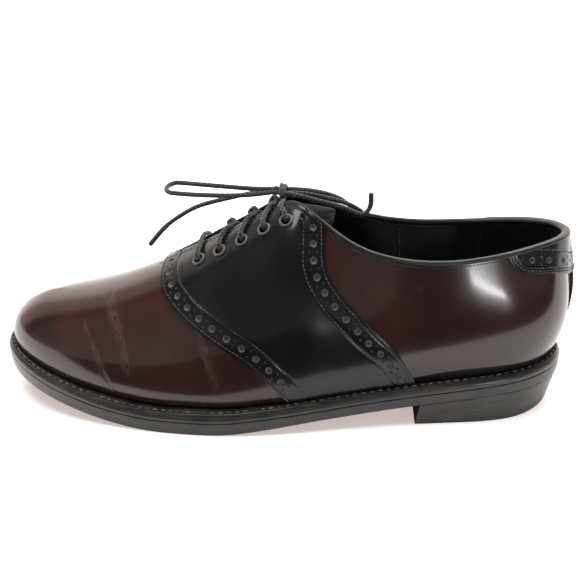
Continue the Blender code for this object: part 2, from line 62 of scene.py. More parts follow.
LAST_ROWS = (
    (0.00, 4.0, 4.0, -112.0, 56.6, 56.6, 0.0, 0.0, 7, 0, 0.54, 0.56),
    (0.03, -15.0, 22.5, -108.5, 57.2, 57.2, 0.0, 0.0, 8, 0, 0.54, 0.56),
    (0.08, -26.0, 32.0, -101.5, 58.6, 58.6, 0.0, 0.0, 10, 0, 0.55, 0.55),
    (0.15, -35.0, 39.3, -90.0, 61.3, 61.3, 0.0, 0.0, 12, 0, 0.56, 0.53),
    (0.25, -42.0, 44.4, -69.0, 68.0, 68.0, 0.0, 0.0, 13, 0, 0.54, 0.50),
    (0.33, -45.2, 44.4, -48.0, 76.5, 76.5, 0.0, 0.0, 13, 0, 0.52, 0.45),
    (0.42, -46.4, 40.0, -22.0, 89.5, 89.5, -4.2, 4.2, 12, 12, 0.48, 0.40),
    (0.50, -45.0, 34.0, 2.0, 102.3, 102.3, -5.5, 5.5, 11, 22, 0.45, 0.38),
    (0.56, -42.6, 29.8, 17.0, 107.0, 107.0, -9.0, 9.0, 11, 35, 0.45, 0.38),
    (0.60, -40.5, 27.8, 29.0, 101.2, 101.5, -17.5, 17.0, 11, 55, 0.42, 0.40),
    (0.66, -37.4, 26.2, 45.5, 92.0, 92.8, -26.5, 25.5, 12, 72, 0.40, 0.40),
    (0.74, -34.0, 26.3, 70.0, 86.2, 87.0, -31.0, 29.5, 13, 80, 0.40, 0.40),
    (0.84, -31.2, 28.6, 101.0, 86.6, 87.2, -29.5, 28.5, 15, 79, 0.40, 0.40),
    (0.92, -27.0, 26.4, 124.5, 89.8, 90.0, -23.0, 22.5, 19, 76, 0.41, 0.42),
    (0.97, -19.0, 18.8, 139.3, 91.7, 91.8, -14.8, 14.6, 21, 74, 0.42, 0.44),
    (1.00, 0.0, 0.0, 147.4, 92.2, 92.2, 0.0, 0.0, 22, 74, 0.42, 0.44),
)
LAST = dict(zip(LAST_COLUMNS, np.array(LAST_ROWS).T))


def turn_of(share):
    """Place round the outline, 0 at the toe, 1 at the heel and on to 2 up the inner side."""
    return np.arccos(1 - 2 * np.asarray(share, float)) / math.pi


def share_of(turn):
    return (1 - np.cos(math.pi * np.asarray(turn, float))) / 2


def sided(turn, medial):
    """The same place on the outer side or, mirrored, on the inner side."""
    return 2 - turn if medial else turn


def closed_curve(lat, med):
    """Smooth closed curve through one value per row, down the outer side and back up the inner side."""
    turns = turn_of(LAST["share"])
    knots = np.concatenate([turns, 2 - turns[-2:0:-1]])
    values = np.concatenate([LAST[lat], LAST[med][-2:0:-1]])
    count = len(knots)
    step = np.diff(np.append(knots, 2.0))
    system = np.zeros((count, count))
    bend = np.zeros(count)
    for i in range(count):
        before, after = (i - 1) % count, (i + 1) % count
        system[i, before] += step[before]
        system[i, i] += 2 * (step[before] + step[i])
        system[i, after] += step[i]
        bend[i] = 6 * ((values[after] - values[i]) / step[i] - (values[i] - values[before]) / step[before])
    second = np.linalg.solve(system, bend)

    def at(turn):
        turn = np.mod(np.asarray(turn, float), 2.0)
        i = np.clip(np.searchsorted(knots, turn, side="right") - 1, 0, count - 1)
        j = (i + 1) % count
        right = turn - knots[i]
        left = step[i] - right
        cubic = (second[i] * left**3 + second[j] * right**3) / (6 * step[i])
        low = (values[i] / step[i] - second[i] * step[i] / 6) * left
        return cubic + low + (values[j] / step[i] - second[j] * step[i] / 6) * right
    return at


FEATHER_Y = closed_curve("lat", "med")
CREST_X = closed_curve("crest_x", "crest_x")
CREST_Y = closed_curve("crest_y_lat", "crest_y_med")
CREST_Z = closed_curve("crest_z_lat", "crest_z_med")
LEAN = closed_curve("lean", "lean")
CLIMB = closed_curve("climb", "climb")
LOW = closed_curve("low", "low")
HIGH = closed_curve("high", "high")


def unit(vectors):
    return vectors / np.linalg.norm(vectors, axis=-1, keepdims=True)


def tread_z(x):
    """Height of the tread's lower face: toe spring, flat tread, then a straight rise to the heel seat."""
    x = np.asarray(x, float)
    before = np.clip(SPRING_X - x, 0, None)
    spring = SPRING_SLOPE * (np.sqrt(before**2 + SPRING_SOFT**2) - SPRING_SOFT)
    after = np.clip(x - RAMP_X, 0, None)
    ramp = RAMP_SLOPE * np.where(after < RAMP_SOFT, after**2 / (2 * RAMP_SOFT), after - RAMP_SOFT / 2)
    return spring + ramp


def feather_plan(turn, out=0.0):
    """Point in plan on the feather line, moved outward square to it, and that outward direction."""
    turn = np.asarray(turn, float)
    tiny = 1e-4

    def plain(t):
        return np.stack([TOE_X + LAST_LENGTH * share_of(t), FEATHER_Y(t)], -1)
    along = plain(turn + tiny) - plain(turn - tiny)
    square = unit(np.stack([along[..., 1], -along[..., 0]], -1))
    return plain(turn) + square * np.asarray(out, float)[..., None], square


def on_sole(turn, out, height):
    """Point at a height above the tread's lower face, with the plan moved outward from the feather line."""
    plan = feather_plan(turn, out)[0]
    return np.concatenate([plan, np.asarray(tread_z(plan[..., 0]) + height)[..., None]], -1)


def crest(turn):
    """Top end of each rib of the last: the vamp's ridge, then the facing edge and the topline."""
    turn = np.asarray(turn, float)
    ridge = share_of(turn) <= THROAT_SHARE + 1e-9
    there = np.where(ridge, np.minimum(turn, 2 - turn), turn)
    return np.stack([CREST_X(there), np.where(ridge, 0.0, CREST_Y(turn)), CREST_Z(there)], -1)


def rib(turn, rise):
    """Outer surface of the upper, from rise 0 at the feather line to rise 1 at the top end."""
    turn, rise = np.broadcast_arrays(np.asarray(turn, float), np.asarray(rise, float))
    rise = rise[..., None]
    foot = on_sole(turn, 0.0, OUTSOLE_THICK + WELT_THICK + 2 * FIT_GAP)
    top = crest(turn)
    up = np.array([0.0, 0.0, 1.0])
    square = np.concatenate([feather_plan(turn)[1], np.zeros(turn.shape + (1,))], -1)
    lean = np.radians(LEAN(turn))[..., None]
    start = square * np.sin(lean) + up * np.cos(lean)
    across = (top - foot) * np.array([1.0, 1.0, 0.0])
    width = np.linalg.norm(across, axis=-1, keepdims=True)
    across = across / width
    tiny = 1e-3
    before = turn_of(np.clip(share_of(turn) - tiny, 0, 1))
    after = turn_of(np.clip(share_of(turn) + tiny, 0, 1))
    slope = (CREST_Z(after) - CREST_Z(before)) / (CREST_X(after) - CREST_X(before))
    slope = np.where(share_of(turn) <= THROAT_SHARE + 1e-9, slope, 0.0)
    ridge = np.stack([np.ones_like(slope), np.zeros_like(slope), slope], -1)
    flat = unit(across[..., 1:2] * np.array([0.0, 1.0, 0.0]) + across[..., 0:1] * ridge)
    climb = np.radians(CLIMB(turn))[..., None]
    end = flat * np.cos(climb) + up * np.sin(climb)
    height = (top - foot)[..., 2:3]
    first = foot + start * LOW(turn)[..., None] * height
    last = top - end * HIGH(turn)[..., None] * (width * np.cos(climb) + height * np.sin(climb))
    left = 1 - rise
    return left**3 * foot + 3 * left**2 * rise * first + 3 * left * rise**2 * last + rise**3 * top


def ways(turn, rise):
    """How the surface of the upper runs with the turn and with the rise."""
    tiny = 1e-4
    low, high = np.clip(rise - tiny, 0, 1), np.clip(rise + tiny, 0, 1)
    along = (rib(turn + tiny, rise) - rib(turn - tiny, rise)) / (2 * tiny)
    return along, (rib(turn, high) - rib(turn, low)) / np.asarray(high - low)[..., None]


def square_to(turn, rise):
    """Outward direction of the upper's surface."""
    turn, rise = np.broadcast_arrays(np.asarray(turn, float), np.asarray(rise, float))
    ridge = share_of(turn) <= THROAT_SHARE + 1e-9
    square = unit(np.cross(*ways(turn, np.where(ridge, np.minimum(rise, 0.99), rise))))
    on_ridge = (rise > 1 - 1e-9) & ridge
    upright = square * np.array([1.0, 0.0, 1.0]) * np.where(square[..., 2:3] < 0, -1.0, 1.0)
    return unit(np.where(on_ridge[..., None], upright, square))


def skin(turn, rise, out):
    """Point a distance outside the upper's outer surface, negative for inside it."""
    return rib(turn, rise) + square_to(turn, rise) * np.asarray(out, float)[..., None]


def drawn(rows, steps=12):
    """Smooth line through a few rows of values."""
    rows = np.asarray(rows, float)
    padded = np.vstack([2 * rows[0] - rows[1], rows, 2 * rows[-1] - rows[-2]])
    t = np.linspace(0, 1, steps, endpoint=False)[:, None]
    line = []
    for a, b, c, d in zip(padded, padded[1:], padded[2:], padded[3:]):
        square, cube = 2 * a - 5 * b + 4 * c - d, 3 * b - a - 3 * c + d
        line.append(0.5 * (2 * b + (c - a) * t + square * t**2 + cube * t**3))
    return np.vstack(line + [rows[-1:]])


def lengths(line):
    """Distance along a line at each of its points."""
    return np.append(0, np.cumsum(np.linalg.norm(np.diff(line, axis=0), axis=1)))


def measured(points, line):
    """For each point, the nearest place on a line, how far along it that is, and the gap left over."""
    way = unit(np.gradient(line, axis=0))
    run = lengths(line)
    half = run[-1] / (len(line) - 1)
    place = np.concatenate([
        ((part[:, None] - line[None]) ** 2).sum(-1).argmin(1)
        for part in np.array_split(points, 1 + len(points) // 4000)])
    apart = points - line[place]
    along = np.clip((apart * way[place]).sum(-1), -half, half)
    return place, run[place] + along, apart - way[place] * along[:, None]


def grid(rows, columns, round_rows=False, round_columns=False, start=0):
    """Four-cornered faces of a net of points."""
    i, j = np.meshgrid(np.arange(rows if round_rows else rows - 1),
                       np.arange(columns if round_columns else columns - 1), indexing="ij")
    k, l = (i + 1) % rows, (j + 1) % columns
    corners = np.stack([i * columns + j, k * columns + j, k * columns + l, i * columns + l], -1)
    return (corners.reshape(-1, 4) + start).tolist()


def piece(name, points, faces, finish, slot, normals=None, kept=None, sharp=None):
    """Piece of the shoe from points in millimetres on the last, with points at one place joined."""
    points = np.asarray(points, float).reshape(-1, 3)
    _, first, joined = np.unique(
        np.rint(points * 1000).astype(np.int64), axis=0, return_index=True, return_inverse=True)
    joined = joined.reshape(-1).tolist()
    places = points[first]
    corners = [list(dict.fromkeys(joined[i] for i in face)) for face in faces]
    corners = [corner for corner in corners if len(corner) > 2]
    if normals is not None:
        normals = unit(np.asarray(normals, float).reshape(-1, 3)[first])
        for corner in corners:
            a, b, c = places[corner[0]], places[corner[1]], places[corner[-1]]
            if np.dot(np.cross(b - a, c - a), normals[corner].sum(0)) < 0:
                corner.reverse()
    mesh = bpy.data.meshes.new(name)
    mesh.from_pydata(((places - LAST_CENTRE) * 0.001).tolist(), [], corners)
    if normals is None:
        edit = bmesh.new()
        edit.from_mesh(mesh)
        bmesh.ops.recalc_face_normals(edit, faces=edit.faces[:])
        edit.to_mesh(mesh)
        edit.free()
    mesh.shade_smooth()
    if sharp:
        mesh.set_sharp_from_angle(angle=math.radians(sharp))
    if normals is not None:
        mesh.normals_split_custom_set_from_vertices(normals.tolist())
    for key, values in (kept or {}).items():
        values = np.asarray(values, np.float32).reshape(len(points), -1)[first]
        kind, field = ("FLOAT_VECTOR", "vector") if values.shape[1] == 3 else ("FLOAT", "value")
        mesh.attributes.new(key, kind, "POINT").data.foreach_set(field, values.ravel())
    mesh.materials.append(finish)
    made = bpy.data.objects.new(name, mesh)
    bpy.context.scene.collection.objects.link(made)
    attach(made, "root")
    return made


class Wire:
    """A shader socket that adds a Math node for each sum that it is part of."""

    def __init__(self, tree, socket=None):
        self.tree, self.socket = tree, socket

    def add(self, kind, settings=None, sockets=None, output=0):
        """New node's output, with its settings made first and then its sockets' values and links."""
        made = self.tree.nodes.new("ShaderNode" + kind)
        for key, value in (settings or {}).items():
            setattr(made, key, value)
        for key, value in (sockets or {}).items():
            if isinstance(value, Wire):
                self.tree.links.new(value.socket, made.inputs[key])
            else:
                made.inputs[key].default_value = value
        return Wire(self.tree, made.outputs[output])

    def other(self, output):
        return Wire(self.tree, self.socket.node.outputs[output])

    def sum(self, operation, *values):
        return self.add("Math", {"operation": operation}, dict(enumerate(values)))

    def __add__(self, value):
        return self.sum("ADD", self, value)

    def __sub__(self, value):
        return self.sum("SUBTRACT", self, value)

    def __rsub__(self, value):
        return self.sum("SUBTRACT", value, self)

    def __mul__(self, value):
        return self.sum("MULTIPLY", self, value)

    def __abs__(self):
        return self.sum("ABSOLUTE", self)

    __radd__, __rmul__ = __add__, __mul__

    def over(self, low, high):
        """0 below low, 1 above high and smooth between, or the other way round."""
        return self.add("MapRange", {"interpolation_type": "SMOOTHSTEP"},
            {"Value": self, "From Min": low, "From Max": high})

    def colours(self, first, second):
        """First colour where this is 0 and second where it is 1."""
        return self.add("Mix", {"data_type": "RGBA"}, {0: self, 6: first, 7: second}, 2)

    def noise(self, size, detail=2.0):
        """Cloudy value from 0 to 1, with clouds about a size across, where this is a place in millimetres."""
        return self.add("TexNoise", None, {"Vector": self, "Scale": 1 / size, "Detail": detail})


def finish(name, **constants):
    """New material with its even values set, its shader, and a place in millimetres on the piece."""
    made = bpy.data.materials.new(name)
    made.use_nodes = True
    shader = made.node_tree.nodes["Principled BSDF"]
    for key, value in constants.items():
        shader.inputs[key.replace("_", " ")].default_value = value
    root = Wire(made.node_tree)
    where = root.add("VectorMath", {"operation": "SCALE"},
        {0: root.add("TexCoord", output="Object"), "Scale": 1000.0})
    return made, shader, where


def connect(shader, colour=None, roughness=None, height=None):
    """Links what changes over the surface, with the height in millimetres."""
    links = shader.id_data.links
    if colour is not None:
        links.new(colour.socket, shader.inputs["Base Color"])
    if roughness is not None:
        links.new(roughness.socket, shader.inputs["Roughness"])
    if height is not None:
        bump = height.add("Bump", None, {"Strength": 1.0, "Distance": 0.001, "Height": height})
        links.new(bump.socket, shader.inputs["Normal"])


def specks(where, size, spread):
    """Sparse small marks, 1 inside a mark."""
    cells = where.add("TexVoronoi", None, {"Vector": where, "Scale": 1 / spread}, "Distance")
    chosen = cells.add("SeparateColor", None, {0: cells.other("Color")})
    return cells.over(size / spread, 0.4 * size / spread) * chosen.over(0.72, 0.78)


def burgundy_calf():
    made, shader, where = finish("burgundy_calf", Coat_Weight=0.5, Coat_Roughness=0.10)
    cloud, mottle, pores = where.noise(34.0, 3.0), where.noise(7.0, 4.0), where.noise(0.7, 2.0)
    flex = where.add("SeparateXYZ", None,
        {0: where.add("Attribute", {"attribute_name": "flex"}, output="Vector")})
    streak = where.add("CombineXYZ", None, {0: flex * 1.7, 1: flex.other(1) * 0.12}).noise(1.0, 3.0)
    crack = abs(streak - 0.5).over(0.05, 0.0) * flex.other(2)
    scuff = specks(where, 0.5, 16.0)
    # Painted shade: a dark dull finish is mixed in along the bottom of the upper next to the welt, where
    # shade falls.
    painted_welt_shade = (where.add("Attribute", {"attribute_name": "painted_welt_shade"}, output="Fac") + 0.3 * mottle).over(0.3, 0.9)
    place = where.add("SeparateXYZ", None, {0: where})
    # Painted glow: the tip of the toe is painted a brighter red, standing in for light glowing there.
    tip = place.over(-126.0, -138.0) * place.other(2).over(40.0, 47.0)
    tone = (0.65 * cloud + 0.35 * mottle).over(0.36, 0.66)
    colour = tone.colours((0.019, 0.0085, 0.0078, 1), (0.034, 0.0100, 0.0096, 1))
    colour = (0.6 * tip).colours(colour, (0.110, 0.0100, 0.0120, 1))
    colour = (0.5 * crack + 0.16 * flex.other(2)).colours(colour, (0.085, 0.052, 0.040, 1))
    colour = (0.5 * scuff).colours(colour, (0.20, 0.15, 0.13, 1))
    rough = 0.17 + 0.06 * mottle + 0.25 * crack + 0.2 * scuff
    connect(shader, colour, rough, 0.030 * mottle + 0.004 * pores - 0.05 * crack)
    painted_shade_bsdf = where.add("BsdfPrincipled", None, {
        "Base Color": (0.0060, 0.0045, 0.0042, 1), "Roughness": 0.7, "Specular IOR Level": 0.12})
    glossy = Wire(made.node_tree, shader.outputs[0])
    mixed = where.add("MixShader", None, {0: 0.92 * painted_welt_shade, 1: glossy, 2: painted_shade_bsdf})
    made.node_tree.links.new(mixed.socket, made.node_tree.nodes["Material Output"].inputs["Surface"])
    return made


def stations(*counts):
    """Places down the outer side, close together where counts are high, and back up the inner side."""
    throat = float(turn_of(THROAT_SHARE))
    stops = (0.0, 0.2, throat, 0.5, 0.64, 1.0)
    side = np.concatenate([np.linspace(a, b, n, endpoint=False)
        for a, b, n in zip(stops, stops[1:], counts)] + [[1.0]])
    return np.concatenate([side, 2 - side[-2:0:-1]])


def shell(turns, outside, inside):
    """Closed wall between an outer and an inner net, from the feather up to facings and topline."""
    count, high, low = len(turns), outside.shape[1], inside.shape[1]
    start = count * high
    faces = grid(count, high, True) + grid(count, low, True, start=start)
    open_top = share_of(turns) >= THROAT_SHARE - 1e-9
    for i in range(count):
        j = (i + 1) % count
        faces.append([i * high, j * high, start + j * low, start + i * low])
        if open_top[i] and open_top[j]:
            faces.append([i * high + high - 1, j * high + high - 1, start + j * low + low - 1,
                start + i * low + low - 1])
    return np.concatenate([outside.reshape(-1, 3), inside.reshape(-1, 3)]), faces


# Heights above the feather line, at shares round the outline, of the band of painted shade along the welt.
PAINTED_SHADE_SHARES = (0.3, 0.6, 0.70, 0.74, 0.79, 0.83, 0.89, 0.94, 1.0)
PAINTED_SHADE_HEIGHTS = (0.8, 1.0, 1.6, 3.0, 4.8, 5.4, 4.8, 4.0, 3.6)
CREASE_COLUMNS = "line depth width".split()
CREASE_ROWS = (
    (((0.2985, 0.80), (0.3048, 0.691), (0.3306, 0.457), (0.3436, 0.239), (0.348, 0.16)), 0.21, 2.8),
    (((0.268, 0.56), (0.2757, 0.492), (0.3057, 0.253), (0.3228, 0.052), (0.326, 0.01)), 0.15, 1.4),
    (((0.4215, 0.47), (0.4284, 0.409), (0.4401, 0.287), (0.4492, 0.135), (0.452, 0.09)), 0.20, 2.0),
    (((0.656, 0.882), (0.6645, 0.835), (0.675, 0.774)), 0.02, 0.8),
    (((0.6605, 0.786), (0.668, 0.80), (0.674, 0.826)), 0.02, 0.7),
    (((1.706, 0.74), (1.688, 0.58), (1.668, 0.40), (1.655, 0.22)), 0.24, 2.2),
    (((1.735, 0.52), (1.712, 0.36), (1.694, 0.18), (1.688, 0.06)), 0.30, 1.6),
)


def crease_marks(points, square):
    """Depth of the creases at each point, and across, along and strength for the cracked polish."""
    depth = np.zeros(len(points))
    flex = np.zeros((len(points), 3))
    for row in CREASE_ROWS:
        crease = dict(zip(CREASE_COLUMNS, row))
        route = drawn(crease["line"])
        line = rib(*route.T)
        close = np.nonzero(np.linalg.norm(points - line.mean(0), axis=1) < 45)[0]
        place, along, apart = measured(points[close], line)
        side = np.cross(unit(np.gradient(line, axis=0))[place], square[close])
        across = (apart * side).sum(-1)
        gap = np.linalg.norm(apart, axis=1)
        end = np.sin(np.pi * np.clip(along / lengths(line)[-1], 0, 1)) ** 0.6
        trough = np.exp(-(gap / (0.45 * crease["width"])) ** 2)
        ridge = np.exp(-((np.abs(across) - 1.1 * crease["width"]) / (0.6 * crease["width"])) ** 2)
        depth[close] += crease["depth"] * end * (0.35 * ridge - trough)
        strength = end * np.exp(-(gap / crease["width"]) ** 2) * min(1.0, 0.25 + 5 * crease["depth"])
        better = strength > flex[close, 2]
        flex[close[better]] = np.column_stack([across + 31 * crease["depth"], along, strength])[better]
    return depth, flex


def build_vamp_and_quarters():
    turns = stations(44, 82, 46, 20, 80)
    rises = np.linspace(0, 1, 92)
    net = np.meshgrid(turns, rises, indexing="ij")
    base, square = rib(*net), square_to(*net)
    depth, flex = crease_marks(base.reshape(-1, 3), square.reshape(-1, 3))
    surface = base + square * depth.reshape(net[0].shape)[..., None]
    plan = np.concatenate([feather_plan(turns)[1], np.zeros((len(turns), 1))], -1)
    tuck = [surface[:, 0] - plan * inset - np.array([0, 0, drop])
        for inset, drop in ((1.3, 0.28), (0.35, 0.26), (0.06, 0.14))]
    outside = np.concatenate([np.stack(tuck, 1), surface], 1)
    inner = np.meshgrid(turns, np.linspace(0, 1, 14), indexing="ij")
    inside = skin(*inner, -UPPER_LEATHER)
    points, faces = shell(turns, outside, inside)
    # The painted shade is full at the welt and fades out above its height.
    climbed = np.linalg.norm(np.diff(outside, axis=1, prepend=outside[:, :1]), axis=-1).cumsum(1) - 1.6
    height = np.interp(share_of(turns), PAINTED_SHADE_SHARES, PAINTED_SHADE_HEIGHTS)[:, None]
    painted_welt_shade = np.zeros(len(points))
    painted_welt_shade[:climbed.size] = np.clip(height - climbed + 0.5, 0, 1).ravel()
    marks = np.zeros((len(points), 3))
    marks_outside = marks[:climbed.size].reshape(outside.shape)
    marks_outside[:, len(tuck):] = flex.reshape(surface.shape)
    made = piece("vamp_and_quarters", points, faces, burgundy_calf(), "burgundy_leather",
        kept={"flex": marks, "painted_welt_shade": painted_welt_shade})
    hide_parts("upper")


build_vamp_and_quarters()


# Lining: thin black leather glued inside the upper, sewn to it along the topline and facings.
# Two upright seams on the inner side join its heel piece to its quarters.
LINING_THICK = 1.0
LINING_DEEP = UPPER_LEATHER + 0.12
LINING_SEAMS = (1.342, 1.223)
SEAM_WIDE = 0.0016
SEAM_HIGH = 0.35


def lining_leather():
    made, shader, where = finish("lining_leather")
    grain, wear = where.noise(1.1, 3.0), where.noise(18.0, 3.0)
    colour = wear.over(0.35, 0.75).colours((0.0110, 0.0105, 0.0102, 1), (0.0190, 0.0178, 0.0168, 1))
    connect(shader, colour, 0.42 + 0.16 * wear, 0.02 * grain)
    return made


def build_lining():
    turns = stations(24, 24, 22, 20, 70)
    outer = np.meshgrid(turns, np.linspace(0, 1, 10), indexing="ij")
    inner = np.meshgrid(turns, np.linspace(0, 1, 44), indexing="ij")
    seam = sum(np.exp(-((inner[0] - turn) / SEAM_WIDE) ** 2) for turn in LINING_SEAMS)
    outside = skin(*outer, -LINING_DEEP)
    inside = skin(*inner, -LINING_DEEP - LINING_THICK - SEAM_HIGH * seam)
    points, faces = shell(turns, outside, inside)
    piece("lining", points, faces, lining_leather(), "black_leather")


build_lining()


# Saddle: one panel of black calf across the instep, sewn on over vamp and quarters with its edges turned.
# A punched band runs along its front and rear edges, sewn down on both sides, and it carries the eyelets.
SADDLE_COLUMNS = "rise front rear".split()
SADDLE_ROWS = (
    (0.00, 0.538, 0.755),
    (0.10, 0.512, 0.743),
    (0.22, 0.474, 0.728),
    (0.32, 0.429, 0.713),
    (0.44, 0.378, 0.687),
    (0.56, 0.341, 0.660),
    (0.66, 0.322, 0.628),
    (0.74, 0.313, 0.607),
    (0.82, 0.309, 0.603),
    (0.90, 0.308, 0.604),
    (1.00, 0.308, 0.604),
)
SADDLE_OUT = 1.45
EDGE_ROLL = 0.85
BAND_OUTER_ROW = 1.6
BAND_INNER_ROW = 10.4
HOLE_LINE = 5.6
BIG_HOLE = 1.7
SMALL_HOLE = 0.6
PAIR_ASIDE = 1.8
HOLE_DEEP = 0.9
EYELET_DEEP = 1.1
EYELET_PULL = 0.1
# Rings of each punched hole: size, drop, tilt inward, and how light its walls are painted, a painted
# highlight.
PUNCHED = (
    (1.05, 0.03, 0.5, 0.2), (1.0, 0.15, 1.6, 1.0), (0.93, 0.42, 1.7, 1.0), (0.8, 0.7, 1.1, 0.75),
    (0.5, 0.92, 0.5, 0.5),
    (0.0, 1.0, 0.0, 0.5))
FRONT_HOLES = (13.0, 8.4, 12)
REAR_HOLES = (8.6, 8.07, 12)
EYELET_SHARES = (0.386, 0.4225, 0.4595, 0.498, 0.539)
EYELET_BACK = (14.4, 13.7, 13.2, 12.8, 12.2)
EYELET_RADIUS = 2.1
CHART = np.array([461.0, 92.0])


def across_last(turn, rise, way, medial):
    """Change of turn and rise for one millimetre in a direction along the surface."""
    along, upward = ways(sided(turn, medial), rise)
    along = -along if medial else along
    e, f, g = (along * along).sum(-1), (along * upward).sum(-1), (upward * upward).sum(-1)
    a, b = (along * way).sum(-1), (upward * way).sum(-1)
    return np.stack([g * a - f * b, e * b - f * a], -1) / (e * g - f * f)[..., None]


def beside(line, distance, medial=False):
    """Line a distance to the toe side of one that runs upward, or to the heel side if negative."""
    steps = 8
    here = np.array(line, float)
    turn = sided(here[:, 0], medial)
    side = unit(np.cross(square_to(turn, here[:, 1]), np.gradient(rib(turn, here[:, 1]), axis=0)))
    side = -side if medial else side
    for _ in range(steps):
        here = here + across_last(*here.T, side, medial) * distance / steps
        here[:, 1] = np.clip(here[:, 1], 0, 1)
    return here


def spaced(line, places, medial=False):
    """Turns and rises at distances along a line."""
    run = lengths(rib(sided(line[:, 0], medial), line[:, 1]))
    return np.stack([np.interp(places, run, line[:, 0]), np.interp(places, run, line[:, 1])], -1)


def evenly(line, gap, medial=False):
    """The same line with points about a gap apart."""
    run = lengths(rib(sided(line[:, 0], medial), line[:, 1]))[-1]
    return spaced(line, np.linspace(0, run, max(2, int(round(run / gap)) + 1)), medial)


def within(points, loop):
    """Which points of the chart lie inside a closed loop."""
    found = np.zeros(len(points), bool)
    for a, b in zip(loop, np.roll(loop, -1, 0)):
        crosses = (a[1] > points[:, 1]) != (b[1] > points[:, 1])
        if crosses.any():
            x = a[0] + (points[:, 1] - a[1]) * (b[0] - a[0]) / (b[1] - a[1] if b[1] != a[1] else 1.0)
            found ^= crosses & (points[:, 0] < x)
    return found


def clear_of(points, others, gap):
    keep = np.ones(len(points), bool)
    for start in range(0, len(points), 1000):
        part = points[start:start + 1000]
        keep[start:start + 1000] = ((part[:, None] - others[None]) ** 2).sum(-1).min(1) > gap**2
    return points[keep]


def panel(outline, rails, holes, out, spacing, medial=False):
    """Cut and punched leather panel: points, directions, faces, the outline's places and the hole marks of
    painted highlight and painted shade.
    """
    def mirrored(turn):
        return sided(turn, medial)

    def surface(here):
        return skin(mirrored(here[:, 0]), here[:, 1], out(here))

    centres = np.array([hole[:2] for hole in holes]).reshape(-1, 2)
    radii = np.array([hole[2] for hole in holes])
    rims, first_rim = [], len(outline)
    sizes = np.where(radii > 1, 20, 10)
    ends = []
    for centre, radius, count in zip(centres, radii, sizes):
        along, upward = ways(mirrored(centre[0]), centre[1])
        first = unit(along)
        second = unit(np.cross(np.cross(along, upward), along))
        angle = np.linspace(0, 2 * math.pi, count, endpoint=False)[:, None]
        rays = first * np.cos(angle) + second * np.sin(angle)
        there = np.repeat(centre[None], count, 0)
        rims.append((there, across_last(*there.T, rays, medial), rays))
        ends.append((first_rim, first_rim + count))
        first_rim += count
    lip = np.where(radii > 1, 0.32, 0.2)
    features = [outline * CHART] + [(there + ray * (radius + more)) * CHART
                                    for (there, ray, _), radius, more in zip(rims, radii, lip)]
    fixed = np.concatenate(features)
    edges = [(i, (i + 1) % len(outline)) for i in range(len(outline))]
    for start, stop in ends:
        edges += [(i, i + 1 if i + 1 < stop else start) for i in range(start, stop)]
    loop = outline * CHART
    low, high = loop.min(0), loop.max(0)
    rows = np.arange(low[1], high[1], spacing * 0.866)
    fill = []
    for k, row in enumerate(rows):
        places = np.arange(low[0] + (k % 2) * spacing / 2, high[0], spacing)
        fill.append(np.column_stack([places, np.full(len(places), row)]))
    fill = np.concatenate(fill)
    seeds = fixed
    for extra, gap in [(np.concatenate(rails) * CHART, 0.3)] * bool(rails) + [(fill, 0.62 * spacing)]:
        extra = clear_of(extra[within(extra, loop)], seeds, gap)
        for centre, radius in zip(centres * CHART, radii):
            extra = extra[((extra - centre) ** 2).sum(-1) > (radius + 0.75) ** 2]
        seeds = np.concatenate([seeds, extra])
    verts, _, faces, origin = delaunay_2d_cdt([Vector(p) for p in seeds], edges, [], 0, 1e-5)[:4]
    where = {source: k for k, sources in enumerate(origin) for source in sources}
    chart = np.array([list(v) for v in verts])
    faces = np.array(faces)
    middle = chart[faces].mean(1)
    keep = within(middle, loop)
    for ring in features[1:]:
        box = (middle > ring.min(0)).all(1) & (middle < ring.max(0)).all(1)
        keep[box] &= ~within(middle[box], ring)
    faces = [list(face) for face in faces[keep]]
    here = chart / CHART
    points = surface(here)
    tiny = 2e-4
    turned = surface(here + [tiny, 0]) - surface(here - [tiny, 0])
    lower = np.column_stack([here[:, 0], np.clip(here[:, 1] - tiny, 0, 1)])
    upper = np.column_stack([here[:, 0], np.clip(here[:, 1] + tiny, 0, 1)])
    normals = unit(np.cross(turned, surface(upper) - surface(lower))) * (-1 if medial else 1)
    on_ridge = (here[:, 1] > 1 - 1e-9) & (share_of(here[:, 0]) < THROAT_SHARE + 1e-6)
    normals[on_ridge, 1] = 0
    points, normals = list(points), list(unit(normals))
    marks = [0.0] * len(points)
    for (there, ray, way), radius, (start, stop) in zip(rims, radii, ends):
        ring = [where[i] for i in range(start, stop)]
        square = square_to(mirrored(there[0, 0]), there[0, 1])
        level = float(out(there[:1])[0])
        deep = HOLE_DEEP if radius < 2 else EYELET_DEEP
        for size, drop, inward, painted_hole_light in PUNCHED[:-1]:
            place = there + ray * size * radius
            after = list(range(len(points), len(points) + len(ring)))
            points.extend(skin(mirrored(place[:, 0]), place[:, 1], level - drop * deep))
            normals.extend(unit(square[None] - way * inward))
            # Hole walls get the painted highlight; eyelet holes are marked for painted shade.
            marks.extend([painted_hole_light if radius < 2 else -1.0] * len(ring))
            faces += [[a, b, d, c]
                for a, b, c, d in zip(ring, ring[1:] + ring[:1], after, after[1:] + after[:1])]
            ring = after
        points.append(skin(mirrored(there[0, 0]), there[0, 1], level - deep))
        normals.append(square)
        marks.append(PUNCHED[-1][3] if radius < 2 else -1.0)
        faces += [[a, b, len(points) - 1] for a, b in zip(ring, ring[1:] + ring[:1])]
    return np.array(points), np.array(normals), faces, [where[i] for i in range(len(outline))], marks


def rolled(gap, width, drop):
    """Drop of a turned edge at a gap from it."""
    near = np.clip(1 - gap / width, 0, 1)
    return drop * (1 - np.sqrt(1 - near**2))


def sunk(gap, centre, width, deep):
    """Depth of the groove that a row of stitches pulls in."""
    return deep * np.exp(-((gap - centre) / width) ** 2)


